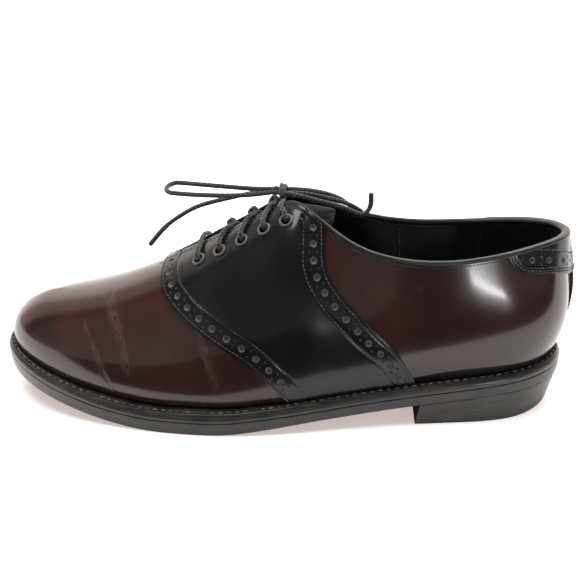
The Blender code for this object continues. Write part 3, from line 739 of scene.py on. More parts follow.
def skirt(points, normals, faces, chain, rings):
    """Adds strips that run on from a chain of points through further rings of points and directions."""
    before = list(chain)
    for ring, direction in rings:
        after = list(range(len(points), len(points) + len(before)))
        points, normals = np.concatenate([points, ring]), np.concatenate([normals, unit(direction)])
        faces += [[a, b, d, c] for a, b, c, d in zip(before, before[1:], after, after[1:])]
        before = after
    return points, normals


def rise_below(turn, distance):
    """Rise of the point a distance down the rib from its top end."""
    rises = np.linspace(1, 0, 400)
    return float(np.interp(distance, lengths(rib(np.full(400, turn), rises)), rises))


def black_calf(name, roughness, coat, tone=1.0):
    made, shader, where = finish(name, Coat_Weight=coat, Coat_Roughness=0.09, Specular_IOR_Level=0.4)
    cloud, mottle, grain = where.noise(22.0, 3.0), where.noise(4.0, 3.0), where.noise(0.55, 2.0)
    scuff = specks(where, 0.45, 11.0)
    colour = cloud.over(0.35, 0.7).colours(
        (0.0045 * tone, 0.0045 * tone, 0.0044 * tone, 1), (0.0080 * tone, 0.0078 * tone, 0.0075 * tone, 1))
    colour = (0.6 * scuff).colours(colour, (0.16, 0.15, 0.14, 1))
    # Painted highlight: walls and floors of the punched holes are painted light grey. Painted shade: the
    # saddle's eyelet holes are painted near black.
    punched = where.add("Attribute", {"attribute_name": "punched"}, output="Fac")
    colour = punched.over(0.1, 1.0).colours(colour, (0.090, 0.088, 0.085, 1))
    colour = punched.over(-0.2, -1.0).colours(colour, (0.0006, 0.0006, 0.0006, 1))
    connect(shader, colour, roughness + 0.10 * mottle + 0.2 * scuff, 0.022 * mottle + 0.005 * grain)
    return made


SADDLE_CALF = black_calf("saddle_calf", 0.19, 0.32)
SADDLE_EDGES = dict(zip(SADDLE_COLUMNS, drawn(SADDLE_ROWS, 10).T))
FRONT_EDGE = np.column_stack([turn_of(SADDLE_EDGES["front"]), SADDLE_EDGES["rise"]])
REAR_EDGE = np.column_stack([turn_of(SADDLE_EDGES["rear"]), SADDLE_EDGES["rise"]])
FACING_EDGE = np.column_stack([
    turn_of(np.linspace(THROAT_SHARE, SADDLE_ROWS[-1][2], 200)), np.ones(200)])


def saddle_level(medial):
    """How far the saddle's face stands out, with its turned edges, its crowned bands and its sewn grooves."""
    lines = [rib(sided(line[:, 0], medial), line[:, 1]) for line in (
        evenly(FRONT_EDGE, 0.6, medial), evenly(REAR_EDGE, 0.6, medial), evenly(FACING_EDGE, 0.6, medial))]
    turns = sided(turn_of(np.array(EYELET_SHARES)), medial)
    eyelets = rib(turns, np.array([rise_below(turn, back) for turn, back in zip(turns, EYELET_BACK)]))

    def out(here):
        points = rib(sided(here[:, 0], medial), here[:, 1])
        front, rear, facing = (np.linalg.norm(measured(points, line)[2], axis=1) for line in lines)
        level = np.full(len(here), SADDLE_OUT) - rolled(facing, 1.0, 0.75)
        for gap in (front, rear):
            band = np.clip((gap - BAND_OUTER_ROW) / (BAND_INNER_ROW - BAND_OUTER_ROW), 0, 1)
            level += 0.16 * np.sin(math.pi * band) - rolled(gap, EDGE_ROLL, 0.5)
            level -= sunk(gap, BAND_OUTER_ROW, 0.4, 0.14) + sunk(gap, BAND_INNER_ROW, 0.55, 0.26)
        away = np.linalg.norm(points[:, None] - eyelets[None], axis=-1).min(1)
        return level - sunk(facing, 2.7, 0.4, 0.12) - sunk(np.maximum(away, 3.4), 3.4, 1.6, EYELET_PULL)
    return out


def band_holes(edge, toward_toe, row, medial):
    """Big holes along a band, with a pair of small ones between each two."""
    start, pitch, count = row
    line = evenly(beside(edge, HOLE_LINE * toward_toe, medial), 0.4, medial)
    run = lengths(rib(sided(line[:, 0], medial), line[:, 1]))
    found = [(t, r, BIG_HOLE) for t, r in spaced(line, start + pitch * np.arange(count), medial)]
    near = [int(np.argmin(np.abs(run - place))) for place in start + pitch * (np.arange(count + 1) - 0.5)]
    for aside in (-PAIR_ASIDE, PAIR_ASIDE):
        found += [(t, r, SMALL_HOLE) for t, r in beside(line, aside, medial)[near] if 0.02 < r < 0.96]
    return found


def build_saddle():
    points, normals, faces, punched = np.zeros((0, 3)), np.zeros((0, 3)), [], np.zeros(0)
    for medial in (False, True):
        front, rear = evenly(FRONT_EDGE, 0.9, medial), evenly(REAR_EDGE, 0.9, medial)
        ridge = np.column_stack([turn_of(np.linspace(SADDLE_ROWS[-1][1], THROAT_SHARE, 9)), np.ones(9)])
        facing = evenly(FACING_EDGE, 0.9, medial)
        bottom = np.column_stack([np.linspace(rear[0, 0], front[0, 0], 60), np.zeros(60)])
        parts = [front, ridge[1:], facing[1:], rear[::-1][1:], bottom[1:-1]]
        outline = np.concatenate(parts)
        marks = np.cumsum([0] + [len(part) for part in parts])
        out = saddle_level(medial)
        holes = band_holes(FRONT_EDGE, -1, FRONT_HOLES, medial)
        holes += band_holes(REAR_EDGE, 1, REAR_HOLES, medial)
        for share, back in zip(EYELET_SHARES, EYELET_BACK):
            turn = float(turn_of(share))
            holes.append((turn, rise_below(sided(turn, medial), back), EYELET_RADIUS))
        rails = []
        for edge, toward in ((front, -1), (rear, 1)):
            for gap in (0.16, 0.36, 0.6, 1.2, 1.6, 2.0, 2.5, 9.3, 9.9, 10.4, 10.9, 11.5):
                rails.append(beside(edge, gap * toward, medial))
        for gap in (0.25, 0.6, 1.1, 1.8, 2.3, 2.7, 3.1, 3.6):
            rails.append(np.array([(t, rise_below(sided(t, medial), gap)) for t in facing[::2, 0]]))
        made, square, shape, at, marks_here = panel(outline, rails, holes, out, 1.5, medial)

        def hung(line, level, drop=0.0):
            turn = sided(line[:, 0], medial)
            return skin(turn, line[:, 1], np.full(len(line), level)) - np.array([0, 0, drop])

        def outward(line, heel):
            turn = sided(line[:, 0], medial)
            side = unit(np.cross(square_to(turn, line[:, 1]), np.gradient(rib(turn, line[:, 1]), axis=0)))
            return side if heel == medial else -side
        for line, heel in ((front, False), (rear, True)):
            chain = at[:len(front)] if line is front else at[marks[3] - 1:marks[4]][::-1]
            edge = outward(line, heel)
            made, square = skirt(made, square, shape, chain, [
                (hung(line, 0.5) + edge * 0.1, edge), (hung(line, -0.12) + edge * 0.05, edge)])
        top = unit(ways(sided(facing[:, 0], medial), facing[:, 1])[1])
        inner = square_to(sided(facing[:, 0], medial), facing[:, 1])
        chain = at[marks[2] - 1:marks[3]]
        made, square = skirt(made, square, shape, chain, [
            (hung(facing, 0.1) + top * 0.3, top + 0.3 * inner),
            (hung(facing, -1.3) + top * 0.3, top - 0.3 * inner),
            (hung(facing, -2.1) + top * 0.05, top - inner), (hung(facing, -2.3) - top * 0.7, -inner)])
        flat = feather_plan(sided(bottom[:, 0], medial))[1]
        plan = np.concatenate([flat, np.zeros((len(bottom), 1))], -1)
        chain = at[marks[4] - 1:] + at[:1]
        made, square = skirt(made, square, shape, chain, [(hung(bottom, SADDLE_OUT - 0.1, 0.26), plan)])
        faces += [[len(points) + i for i in face] for face in shape]
        points, normals = np.concatenate([points, made]), np.concatenate([normals, square])
        punched = np.concatenate([punched, marks_here, np.zeros(len(made) - len(marks_here))])
    made = piece("saddle_leather", points, faces, SADDLE_CALF, "black_leather", normals=normals,
        kept={"punched": punched})
    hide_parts("saddle")


build_saddle()


# Heel patch and backstay: black calf over the back of the quarters, the strip below covering their back seam.
# The patch has a punched band along its lower edge, and both are sewn on with turned edges.
PATCH_EDGE = (
    (0.7817, 0.984), (0.7900, 0.926), (0.8000, 0.883), (0.8133, 0.846), (0.8399, 0.817), (0.8698, 0.794),
    (0.9193, 0.748), (0.9580, 0.705), (1.0000, 0.680))
PATCH_UPPER_ROW = (
    (0.830, 0.985), (0.845, 0.968), (0.865, 0.950), (0.9198, 0.904), (0.959, 0.861), (1.0, 0.832))
PATCH_OUT = 1.25
PATCH_ROWS = (1.3, 2.6)
PATCH_HOLE_LINE = 6.2
PATCH_PITCH = 9.3
BACKSTAY_HALF = 4.3
BACKSTAY_OUT = 0.75
BACKSTAY_TOP = 0.71


def both_sides(rows):
    """Line over the back of the heel from one side's rows."""
    rows = np.asarray(rows, float)
    return np.concatenate([rows, np.column_stack([2 - rows[-2::-1, 0], rows[-2::-1, 1]])])


PATCH_LINE = evenly(drawn(both_sides(PATCH_EDGE), 14), 0.9)
PATCH_LINE[:, 1] = np.minimum(PATCH_LINE[:, 1], 0.995)


def patch_level(here):
    """How far the patch stands out, with its turned edge and its sewn grooves."""
    points = rib(*here.T)
    gap = np.linalg.norm(measured(points, rib(*PATCH_LINE.T))[2], axis=1)
    inner = drawn(both_sides(PATCH_UPPER_ROW), 20)
    row = np.linalg.norm(measured(points, rib(inner[:, 0], np.minimum(inner[:, 1], 1)))[2], axis=1)
    level = PATCH_OUT - rolled(gap, EDGE_ROLL, 0.5) - sunk(row, 0.0, 0.5, 0.2)
    for place in PATCH_ROWS:
        level = level - sunk(gap, place, 0.35, 0.10)
    return level


def backstay_level(here):
    along = np.linalg.norm(ways(np.ones(len(here)), here[:, 1])[0], axis=-1)
    gap = np.clip(BACKSTAY_HALF - np.abs(here[:, 0] - 1) * along, 0, None)
    return BACKSTAY_OUT - rolled(gap, 0.5, 0.4) - sunk(gap, 1.3, 0.35, 0.10)


def build_heel_patch():
    top = np.column_stack([np.linspace(PATCH_LINE[-1, 0], PATCH_LINE[0, 0], 140), np.ones(140)])
    outline = np.concatenate([PATCH_LINE, top])
    line = beside(PATCH_LINE, PATCH_HOLE_LINE)
    line = line[(line[:, 0] > 0.80) & (line[:, 0] < 1.20)]
    run = lengths(rib(*line.T))
    middle = np.interp(1.0, line[:, 0], run)
    holes = [(t, r, 1.45)
        for t, r in spaced(line, middle + PATCH_PITCH * np.arange(-6, 7)) if 0.80 < t < 1.20]
    for aside in (-PAIR_ASIDE, PAIR_ASIDE):
        pairs = beside(line, aside)
        for place in middle + PATCH_PITCH * (np.arange(-6, 6) + 0.5):
            near = int(np.argmin(np.abs(run - place)))
            if 0.80 < pairs[near, 0] < 1.20 and pairs[near, 1] < 0.955:
                holes.append((pairs[near, 0], pairs[near, 1], SMALL_HOLE))
    holes = [hole for hole in holes if hole[1] < 0.96]
    rails = [beside(PATCH_LINE, gap) for gap in (0.16, 0.36, 0.6, 0.95, 1.3, 1.65, 2.25, 2.6, 2.95)]
    inner = evenly(drawn(both_sides(PATCH_UPPER_ROW), 12), 1.0)
    rails += [beside(inner, gap) for gap in (-0.9, -0.45, 0.0, 0.45, 0.9)]
    points, normals, faces, at, marks = panel(outline, rails, holes, patch_level, 1.5)
    low = unit(np.cross(np.gradient(rib(*PATCH_LINE.T), axis=0),
                        square_to(*PATCH_LINE.T)))
    low = np.where(low[:, 2:3] > 0, -low, low)

    def hung(level):
        return skin(*PATCH_LINE.T, np.full(len(PATCH_LINE), level))

    points, normals = skirt(points, normals, faces, at[:len(PATCH_LINE)], [
        (hung(0.4) + low * 0.1, low), (hung(-0.12) + low * 0.05, low)])
    punched = np.concatenate([marks, np.zeros(len(points) - len(marks))])
    piece("heel_patch", points, faces, SADDLE_CALF, "black_leather", normals=normals,
        kept={"punched": punched})


def build_backstay():
    rises = np.linspace(0.0, BACKSTAY_TOP, 90)
    wide = BACKSTAY_HALF / np.linalg.norm(ways(np.ones(90), rises)[0], axis=-1)
    left, right = np.column_stack([1 - wide, rises]), np.column_stack([1 + wide, rises])
    bottom = np.column_stack([np.linspace(left[0, 0], right[0, 0], 9)[1:-1], np.zeros(7)])
    top = np.column_stack([np.linspace(right[-1, 0], left[-1, 0], 9)[1:-1], np.full(7, BACKSTAY_TOP)])
    outline = np.concatenate([bottom, right, top, left[::-1]])
    rails = []
    for share in (0.04, 0.1, 0.2, 0.25, 0.3, 0.36, 0.42, 0.6, 0.8):
        rails += [np.column_stack([1 - wide * (1 - share), rises]),
            np.column_stack([1 + wide * (1 - share), rises])]
    points, normals, faces, at, _ = panel(outline, rails, [], backstay_level, 1.4)
    for start, line, sign in ((len(bottom), right, 1), (len(bottom) + 90 + len(top), left[::-1], -1)):
        edge = unit(ways(*line.T)[0]) * sign
        under = skin(*line.T, np.full(len(line), -0.1)) + edge * 0.04
        points, normals = skirt(points, normals, faces, at[start:start + 90], [(under, edge)])
    piece("backstay", points, faces, SADDLE_CALF, "black_leather", normals=normals)


build_heel_patch()
build_backstay()


# Topline binding: a folded strip of soft black leather sewn over the raw top edge from facing to facing.
# It rolls over saddle, quarters and heel patch, and is turned under inside.
BINDING_START = 0.535
BINDING_SECTION = (
    (0.12, -1.55), (0.42, -1.5), (0.62, -1.25), (0.72, -0.75), (0.62, -0.2), (0.32, 0.2), (-0.3, 0.45),
    (-1.1, 0.52),
    (-1.9, 0.42), (-2.5, 0.1), (-2.8, -0.4), (-2.9, -1.3), (-2.75, -2.0), (-2.3, -2.2))


def binding_leather():
    made, shader, where = finish("binding_leather", Coat_Weight=0.12, Coat_Roughness=0.2)
    grain, wear = where.noise(0.8, 3.0), where.noise(9.0, 3.0)
    colour = wear.over(0.35, 0.7).colours((0.012, 0.0115, 0.011, 1), (0.024, 0.023, 0.022, 1))
    connect(shader, colour, 0.34 + 0.12 * wear, 0.03 * grain)
    return made


def build_binding():
    first = float(turn_of(BINDING_START))
    fine = np.linspace(first, 2 - first, 1200)
    whole = lengths(rib(fine, np.ones(1200)))[-1]
    turns = spaced(np.column_stack([fine, np.ones(1200)]), np.linspace(0, 1, 420) * whole)[:, 0]
    near = np.minimum(turns, 2 - turns)
    run = lengths(rib(turns, np.ones(len(turns))))
    over = np.interp(share_of(near), (0.602, 0.612), (1.0, 0.0)) * 0.85
    over = over + np.interp(near, (0.772, 0.782), (0.0, 1.0)) * 0.75
    ends = np.minimum(run, run[-1] - run)
    grown = np.interp(ends, (0, 2, 6), (0.35, 0.7, 1.0))
    base, out = rib(turns, np.ones(len(turns))), square_to(turns, np.ones(len(turns)))
    up = unit(ways(turns, np.ones(len(turns)))[1])
    rings = []
    for aside, high in BINDING_SECTION:
        lift = over * np.interp(aside, (-1.6, 0.2), (0, 1))
        wide = np.where(aside > -1, aside * grown, aside * (0.6 + 0.4 * grown)) + lift
        rings.append(base + out * wide[:, None] + up * (high * grown)[:, None])
    points = np.stack(rings, 1)
    count = len(BINDING_SECTION)
    faces = grid(len(turns), count, round_columns=True)
    faces += [list(range(count)), [(len(turns) - 1) * count + i for i in range(count)]]
    piece("topline_binding", points, faces, binding_leather(), "black_leather")


build_binding()


# Stitching: waxed black thread in small even lockstitches, along panels, facings, topline and lining seams.
# Each stitch is a short round length of thread that dips into the leather at both ends.
STITCH_SHAPE = (
    (-0.5, 0.45, -0.75), (-0.36, 0.9, -0.05), (0.0, 1.0, 0.25), (0.36, 0.9, -0.05), (0.5, 0.45, -0.75))
SEAM_STITCH_TURNS = (1.3455, 1.2265)


def stitches(line, square, pitch, length, radius):
    """Points and faces of stitches along a line."""
    run = lengths(line)
    way = unit(np.gradient(line, axis=0))
    middle = np.arange(pitch * 0.6, run[-1] - pitch * 0.4, pitch)

    def at(values, places):
        return np.stack([np.interp(places, run, values[:, k]) for k in range(3)], -1)
    ahead = unit(at(way, middle))
    up = unit(at(square, middle) - ahead * (at(square, middle) * ahead).sum(-1, keepdims=True))
    side = np.cross(ahead, up)
    centre = at(line, middle)
    angle = np.linspace(0, 2 * math.pi, 6, endpoint=False)
    rings = []
    for along, size, high in STITCH_SHAPE:
        hub = centre + ahead * along * length + up * high * radius
        rings.append(hub[:, None] + radius * size * (
            side[:, None] * np.cos(angle)[None, :, None] + up[:, None] * np.sin(angle)[None, :, None]))
    points = np.stack(rings, 1)
    faces = []
    for k in range(len(middle)):
        faces += grid(5, 6, round_columns=True, start=30 * k)
        faces += [[30 * k + i for i in range(6)], [30 * k + 24 + i for i in range(6)]]
    return points.reshape(-1, 3), faces


def joined(parts):
    """One net from several."""
    points, faces = [], []
    for made, shape in parts:
        start = sum(len(p) for p in points)
        points.append(made)
        faces += [[start + i for i in face] for face in shape]
    return np.concatenate(points), faces


def thread(name, dark, light):
    made, shader, where = finish(name)
    fuzz, change = where.noise(0.35, 2.0), where.noise(5.0, 2.0)
    connect(shader, change.over(0.35, 0.65).colours(dark, light), 0.5 + 0.15 * fuzz, 0.03 * fuzz)
    return made


BLACK_THREAD = thread("black_thread", (0.026, 0.025, 0.024, 1), (0.085, 0.082, 0.079, 1))


def sewn(line, level, pitch=2.1, length=1.6, radius=0.26):
    """Row of stitches along a line of turns and rises, lying at a level on the leather."""
    line = evenly(line, 0.7)
    return stitches(skin(*line.T, level(line) + 0.08), square_to(*line.T), pitch, length, radius)


def build_panel_stitching():
    rows = []
    for medial in (False, True):
        out = saddle_level(medial)

        def flipped(line):
            return np.column_stack([sided(line[:, 0], medial), line[:, 1]])

        def level(line):
            return out(flipped(line))

        for edge, toward in ((evenly(FRONT_EDGE, 0.9, medial), -1), (evenly(REAR_EDGE, 0.9, medial), 1)):
            for gap in (BAND_OUTER_ROW, BAND_INNER_ROW):
                line = beside(edge, gap * toward, medial)
                line = line[(line[:, 1] > 0.004) & (line[:, 1] < 0.985)]
                rows.append(sewn(flipped(line), level))
        facing = np.array([(t, rise_below(sided(t, medial), 2.7))
            for t in turn_of(np.linspace(0.345, 0.565, 90))])
        rows.append(sewn(flipped(facing), level))
        for back in (2.0, 3.4, 4.8, 6.2):
            tack = np.array([(float(turn_of(share)), rise_below(
                float(sided(turn_of(share), medial)), back)) for share in np.linspace(0.3385, 0.3455, 12)])
            rows.append(sewn(flipped(tack), level))
    for gap in PATCH_ROWS:
        rows.append(sewn(beside(PATCH_LINE, gap)[3:-3], patch_level))
    rows.append(sewn(np.clip(drawn(both_sides(PATCH_UPPER_ROW), 20), 0, (2, 1)), patch_level))
    rises = np.linspace(0.01, 0.675, 120)
    wide = (BACKSTAY_HALF - 1.3) / np.linalg.norm(ways(np.ones(120), rises)[0], axis=-1)
    for side in (-1, 1):
        rows.append(sewn(np.column_stack([1 + side * wide, rises]), backstay_level))
    first = float(turn_of(0.612))
    for start, stop in ((first, 0.776), (1.224, 2 - first)):
        line = np.array([(t, rise_below(t, 2.5)) for t in np.linspace(start, stop, 140)])
        rows.append(sewn(line, lambda here: np.zeros(len(here)), 1.6, 1.2, 0.24))
    for start, stop in ((turn_of(0.57), turn_of(0.602)), (2 - turn_of(0.602), 2 - turn_of(0.57))):
        line = np.array([(t, rise_below(t, 2.6)) for t in np.linspace(float(start), float(stop), 30)])
        rows.append(sewn(line, lambda here: np.full(len(here), SADDLE_OUT)))
    within_top = np.array([(t, rise_below(t, 3.3)) for t in np.linspace(1.02, 2 - first, 160)])
    seams = [np.column_stack([np.full(60, turn), np.linspace(0.55, 0.955, 60)])
        for turn in SEAM_STITCH_TURNS]
    for line in (within_top, *seams):
        line = evenly(line, 0.7)
        inward = -square_to(*line.T)
        face = skin(*line.T, -LINING_DEEP - LINING_THICK)
        rows.append(stitches(face + 0.06 * inward, inward, 2.1, 1.5, 0.24))
    points, faces = joined(rows)
    piece("panel_stitching", points, faces, BLACK_THREAD, "black_leather")


build_panel_stitching()


# Tongue: soft black leather behind the lacing, sewn in under the throat, with a rounded and bound free top.
# Wear has crinkled it where it stands out above the facings.
TONGUE_THICK = 2.0
TONGUE_REACH = 23.0
TONGUE_DEPTH = 6.6
TONGUE_SHARES = (0.318, 0.54)
TONGUE_FREE = 22.0
TONGUE_SLOPE = -9.0


def build_tongue():
    reach = np.linspace(TONGUE_REACH, 0, 15)
    rows = []
    for share in np.linspace(*TONGUE_SHARES, 46):
        turn = float(turn_of(share))
        depth = -np.interp(share, (0.33, 0.46, 0.54), (4.6, TONGUE_DEPTH, 3.6))
        lateral = skin(np.full(15, turn), np.array([rise_below(turn, d) for d in reach]),
            np.full(15, depth))
        medial = skin(np.full(15, 2 - turn), np.array([rise_below(2 - turn, d) for d in reach]),
            np.full(15, depth))
        middle = (lateral[-1] + medial[-1]) / 2 + np.array([0.0, 0.0, 0.12 * abs(lateral[-1, 1])])
        if share <= THROAT_SHARE:
            lateral[-1] = medial[-1] = middle
        rows.append(np.concatenate([lateral, [middle], medial[::-1]]))
    last = rows[-1]
    slope = math.radians(TONGUE_SLOPE)
    for reach_on in np.linspace(0.9, TONGUE_FREE, 25):
        share = reach_on / TONGUE_FREE
        row = last + np.array([math.cos(slope), 0.0, math.sin(slope)]) * reach_on
        keep = row[15].copy()
        narrow = math.sqrt(max(0.0, 1 - share**4)) * (1 - 0.08 * share)
        row = keep + (row - keep) * np.array([1.0, max(narrow, 0.3), max(narrow, 0.3)])
        rows.append(row)
    net = np.array(rows)
    run = np.arange(len(rows))[:, None] / len(rows)
    over = np.linspace(-1, 1, net.shape[1])[None]
    crinkle = 0.9 * np.sin(26 * over + 30 * run) * np.clip((run - 0.62) / 0.2, 0, 1) * np.abs(over) ** 1.5
    crinkle += 0.7 * np.sin(47 * over - 55 * run) * np.clip((run - 0.7) / 0.2, 0, 1) * np.abs(over)
    along, across = np.gradient(net, axis=0), np.gradient(net, axis=1)
    square = np.cross(across, along)
    square = square / np.maximum(np.linalg.norm(square, axis=-1, keepdims=True), 1e-9)
    square = np.where(square[..., 2:3] < 0, -square, square)
    count, wide = net.shape[:2]
    from_side = np.minimum(np.arange(wide), np.arange(wide)[::-1])
    edge = np.minimum(np.arange(count)[::-1, None], from_side[None])
    half = TONGUE_THICK / 2 * np.interp(edge, (0, 1, 2), (0.35, 0.85, 1.0))
    middle = net - square * TONGUE_THICK / 2 + square * crinkle[..., None]
    upper, lower = middle + square * half[..., None], middle - square * half[..., None]
    faces = grid(count, wide) + grid(count, wide, start=count * wide)
    rim = ([(0, j) for j in range(wide)] + [(i, wide - 1) for i in range(1, count)]
           + [(count - 1, j) for j in range(wide - 2, -1, -1)] + [(i, 0) for i in range(count - 2, 0, -1)])
    loop = [i * wide + j for i, j in rim]
    faces += [[a, b, b + count * wide, a + count * wide] for a, b in zip(loop, loop[1:] + loop[:1])]
    made = piece("tongue_leather", np.concatenate([upper.reshape(-1, 3), lower.reshape(-1, 3)]), faces,
                 black_calf("tongue_calf", 0.46, 0.0, 0.7), "black_leather")
    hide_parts("tongue")


build_tongue()


# Eyelets: black-enamelled brass, five on each facing, their barrels set through saddle and lining.
# The enamel has worn to a grey shine round each rim.
EYELET_SECTION = (
    (2.15, -2.9), (2.12, -1.0), (2.12, 0.0), (2.2, 0.4), (2.45, 0.75), (2.9, 0.92), (3.35, 0.78),
    (3.62, 0.4), (3.68, -0.1), (3.6, -0.3),
    (2.6, -0.35), (2.4, -1.0), (2.4, -2.9))


def eyelet_enamel():
    made, shader, where = finish("eyelet_enamel", Metallic=0.55, Coat_Weight=0.4, Coat_Roughness=0.15)
    wear, rim = where.noise(1.6, 3.0), where.add("Attribute", {"attribute_name": "rim"}, output="Fac")
    colour = (rim * (0.55 + 0.6 * wear)).colours((0.0040, 0.0040, 0.0040, 1), (0.140, 0.135, 0.128, 1))
    connect(shader, colour, 0.30 + 0.15 * wear, 0.01 * wear)
    return made


def build_eyelets():
    parts = []
    for medial in (False, True):
        for share, back in zip(EYELET_SHARES, EYELET_BACK):
            turn = sided(float(turn_of(share)), medial)
            rise = rise_below(turn, back)
            axis = square_to(turn, rise)
            first = unit(np.cross(axis, [0.0, 1.0, 0.0]))
            second = np.cross(axis, first)
            centre = skin(turn, rise, SADDLE_OUT - EYELET_PULL + 0.05)
            angle = np.linspace(0, 2 * math.pi, 28, endpoint=False)
            ray = np.cos(angle)[:, None] * first + np.sin(angle)[:, None] * second
            points = np.stack([centre + ray * wide + axis * high for wide, high in EYELET_SECTION], 1)
            parts.append((points.reshape(-1, 3), grid(28, len(EYELET_SECTION), True, True)))
    rim = np.tile([float(high > 0.3) for _, high in EYELET_SECTION], 28 * len(parts))
    made = piece("eyelets", *joined(parts), eyelet_enamel(), "eyelet_metal", kept={"rim": rim})
    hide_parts(*["eyelet_%s_%d" % (side, k) for side in ("lateral", "medial") for k in range(1, 6)])


build_eyelets()


# Insole: a board covered with dark leather, laid on the sole's filling inside the lining.
# Its edge is tucked down all round and its middle is trodden a little hollow.
INSOLE_THICK = 3.0
INSOLE_INSET = 3.1
INSOLE_DISH = 1.4


def board_leather():
    made, shader, where = finish("board_leather")
    grain, wear = where.noise(0.9, 3.0), where.noise(26.0, 3.0)
    colour = wear.over(0.35, 0.7).colours((0.010, 0.0085, 0.0075, 1), (0.022, 0.018, 0.015, 1))
    connect(shader, colour, 0.5 + 0.2 * wear, 0.02 * grain)
    return made


def across_sole(turns, out, height, columns, sag=0.0):
    """Net across the sole from its outer to its inner edge."""
    one, other = on_sole(turns, out, height), on_sole(2 - turns, out, height)
    share = np.linspace(0, 1, columns)[None, :, None]
    net = one[:, None] * (1 - share) + other[:, None] * share
    hollow = sag * np.sin(math.pi * share[..., 0]) ** 0.7
    net[..., 2] = tread_z(net[..., 0]) + np.asarray(height)[..., None] - hollow
    return net


def slab(turns, loops, columns, sag_top=0.0):
    """Closed slab from loops of outs and heights stacked upward, with its faces across top and bottom."""
    nets = [across_sole(turns, *loops[0], columns)]
    nets.append(across_sole(turns, *loops[-1], columns, sag_top))
    sides = [np.concatenate([on_sole(turns, out, high), on_sole(2 - turns[-2:0:-1], out[-2:0:-1], (
        high + np.zeros(len(turns)))[-2:0:-1])]) for out, high in loops]
    points = np.concatenate([net.reshape(-1, 3) for net in nets] + sides)
    size = len(turns) * columns
    faces = grid(len(turns), columns) + grid(len(turns), columns, start=size)
    return points, faces + grid(len(loops), len(sides[0]), False, True, start=2 * size)


SOLE_TURNS = np.concatenate([
    np.linspace(0, 0.16, 40, endpoint=False), np.linspace(0.16, 0.86, 120, endpoint=False),
    np.linspace(0.86, 1, 36)])


def build_insole():
    inset = np.full(len(SOLE_TURNS), -INSOLE_INSET)
    floor = np.full(len(SOLE_TURNS), OUTSOLE_THICK + WELT_THICK + 2 * FIT_GAP)
    loops = [
        (inset - 4.6, floor - WELT_THICK - FIT_GAP), (inset - 4.6, floor), (inset, floor + 0.02),
        (inset, floor + INSOLE_THICK - 0.8), (inset - 0.25, floor + INSOLE_THICK - 0.25),
        (inset - 0.9, floor + INSOLE_THICK)]
    made = piece("insole_cover", *slab(SOLE_TURNS, loops, 24, INSOLE_DISH), board_leather(), "insole_board")
    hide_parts("insole")


build_insole()


# Welt: a strip of black-dyed leather round the upper's edge, its lip sewn to the outsole with waxed thread.
# Its top is wheeled between the stitches and its edge is rounded, dyed and burnished with wax.
EDGE_ROWS = (
    (0.0, 3.8), (0.04, 4.4), (0.1, 5.4), (0.25, 6.3), (0.4, 6.4), (0.55, 5.6), (0.75, 5.0), (0.9, 4.1),
    (0.96, 3.6), (1.0, 4.2))
WELT_STITCH_IN = 2.8
WELT_STITCH_PITCH = 4.2


def stand_out(turn):
    """How far the sole's edge stands out beyond the feather line."""
    share, width = np.array(EDGE_ROWS).T
    spread = np.linspace(-0.02, 0.02, 9)
    return np.mean([np.interp(share_of(np.asarray(turn) + s), share, width) for s in spread], axis=0)


def edge_dye(name, roughness, lines, deep=0.06):
    """Dyed and waxed leather edge with fine marks drawn along it by the edge iron."""
    made, shader, where = finish(name, Coat_Weight=0.4, Coat_Roughness=0.16)
    flat = where.add("VectorMath", {"operation": "MULTIPLY"}, {0: where, 1: (0.05, 0.05, lines)})
    drag, blot, grain = flat.noise(1.0, 3.0), where.noise(12.0, 3.0), where.noise(0.6, 2.0)
    tone = (0.5 * drag + 0.5 * blot).over(0.35, 0.68)
    colour = tone.colours((0.0125, 0.0117, 0.0107, 1), (0.037, 0.0345, 0.0310, 1))
    scuff = specks(where, 0.6, 19.0)
    colour = (0.5 * scuff).colours(colour, (0.16, 0.14, 0.11, 1))
    connect(shader, colour, roughness + 0.14 * drag + 0.1 * scuff, deep * drag + 0.008 * grain)
    return made


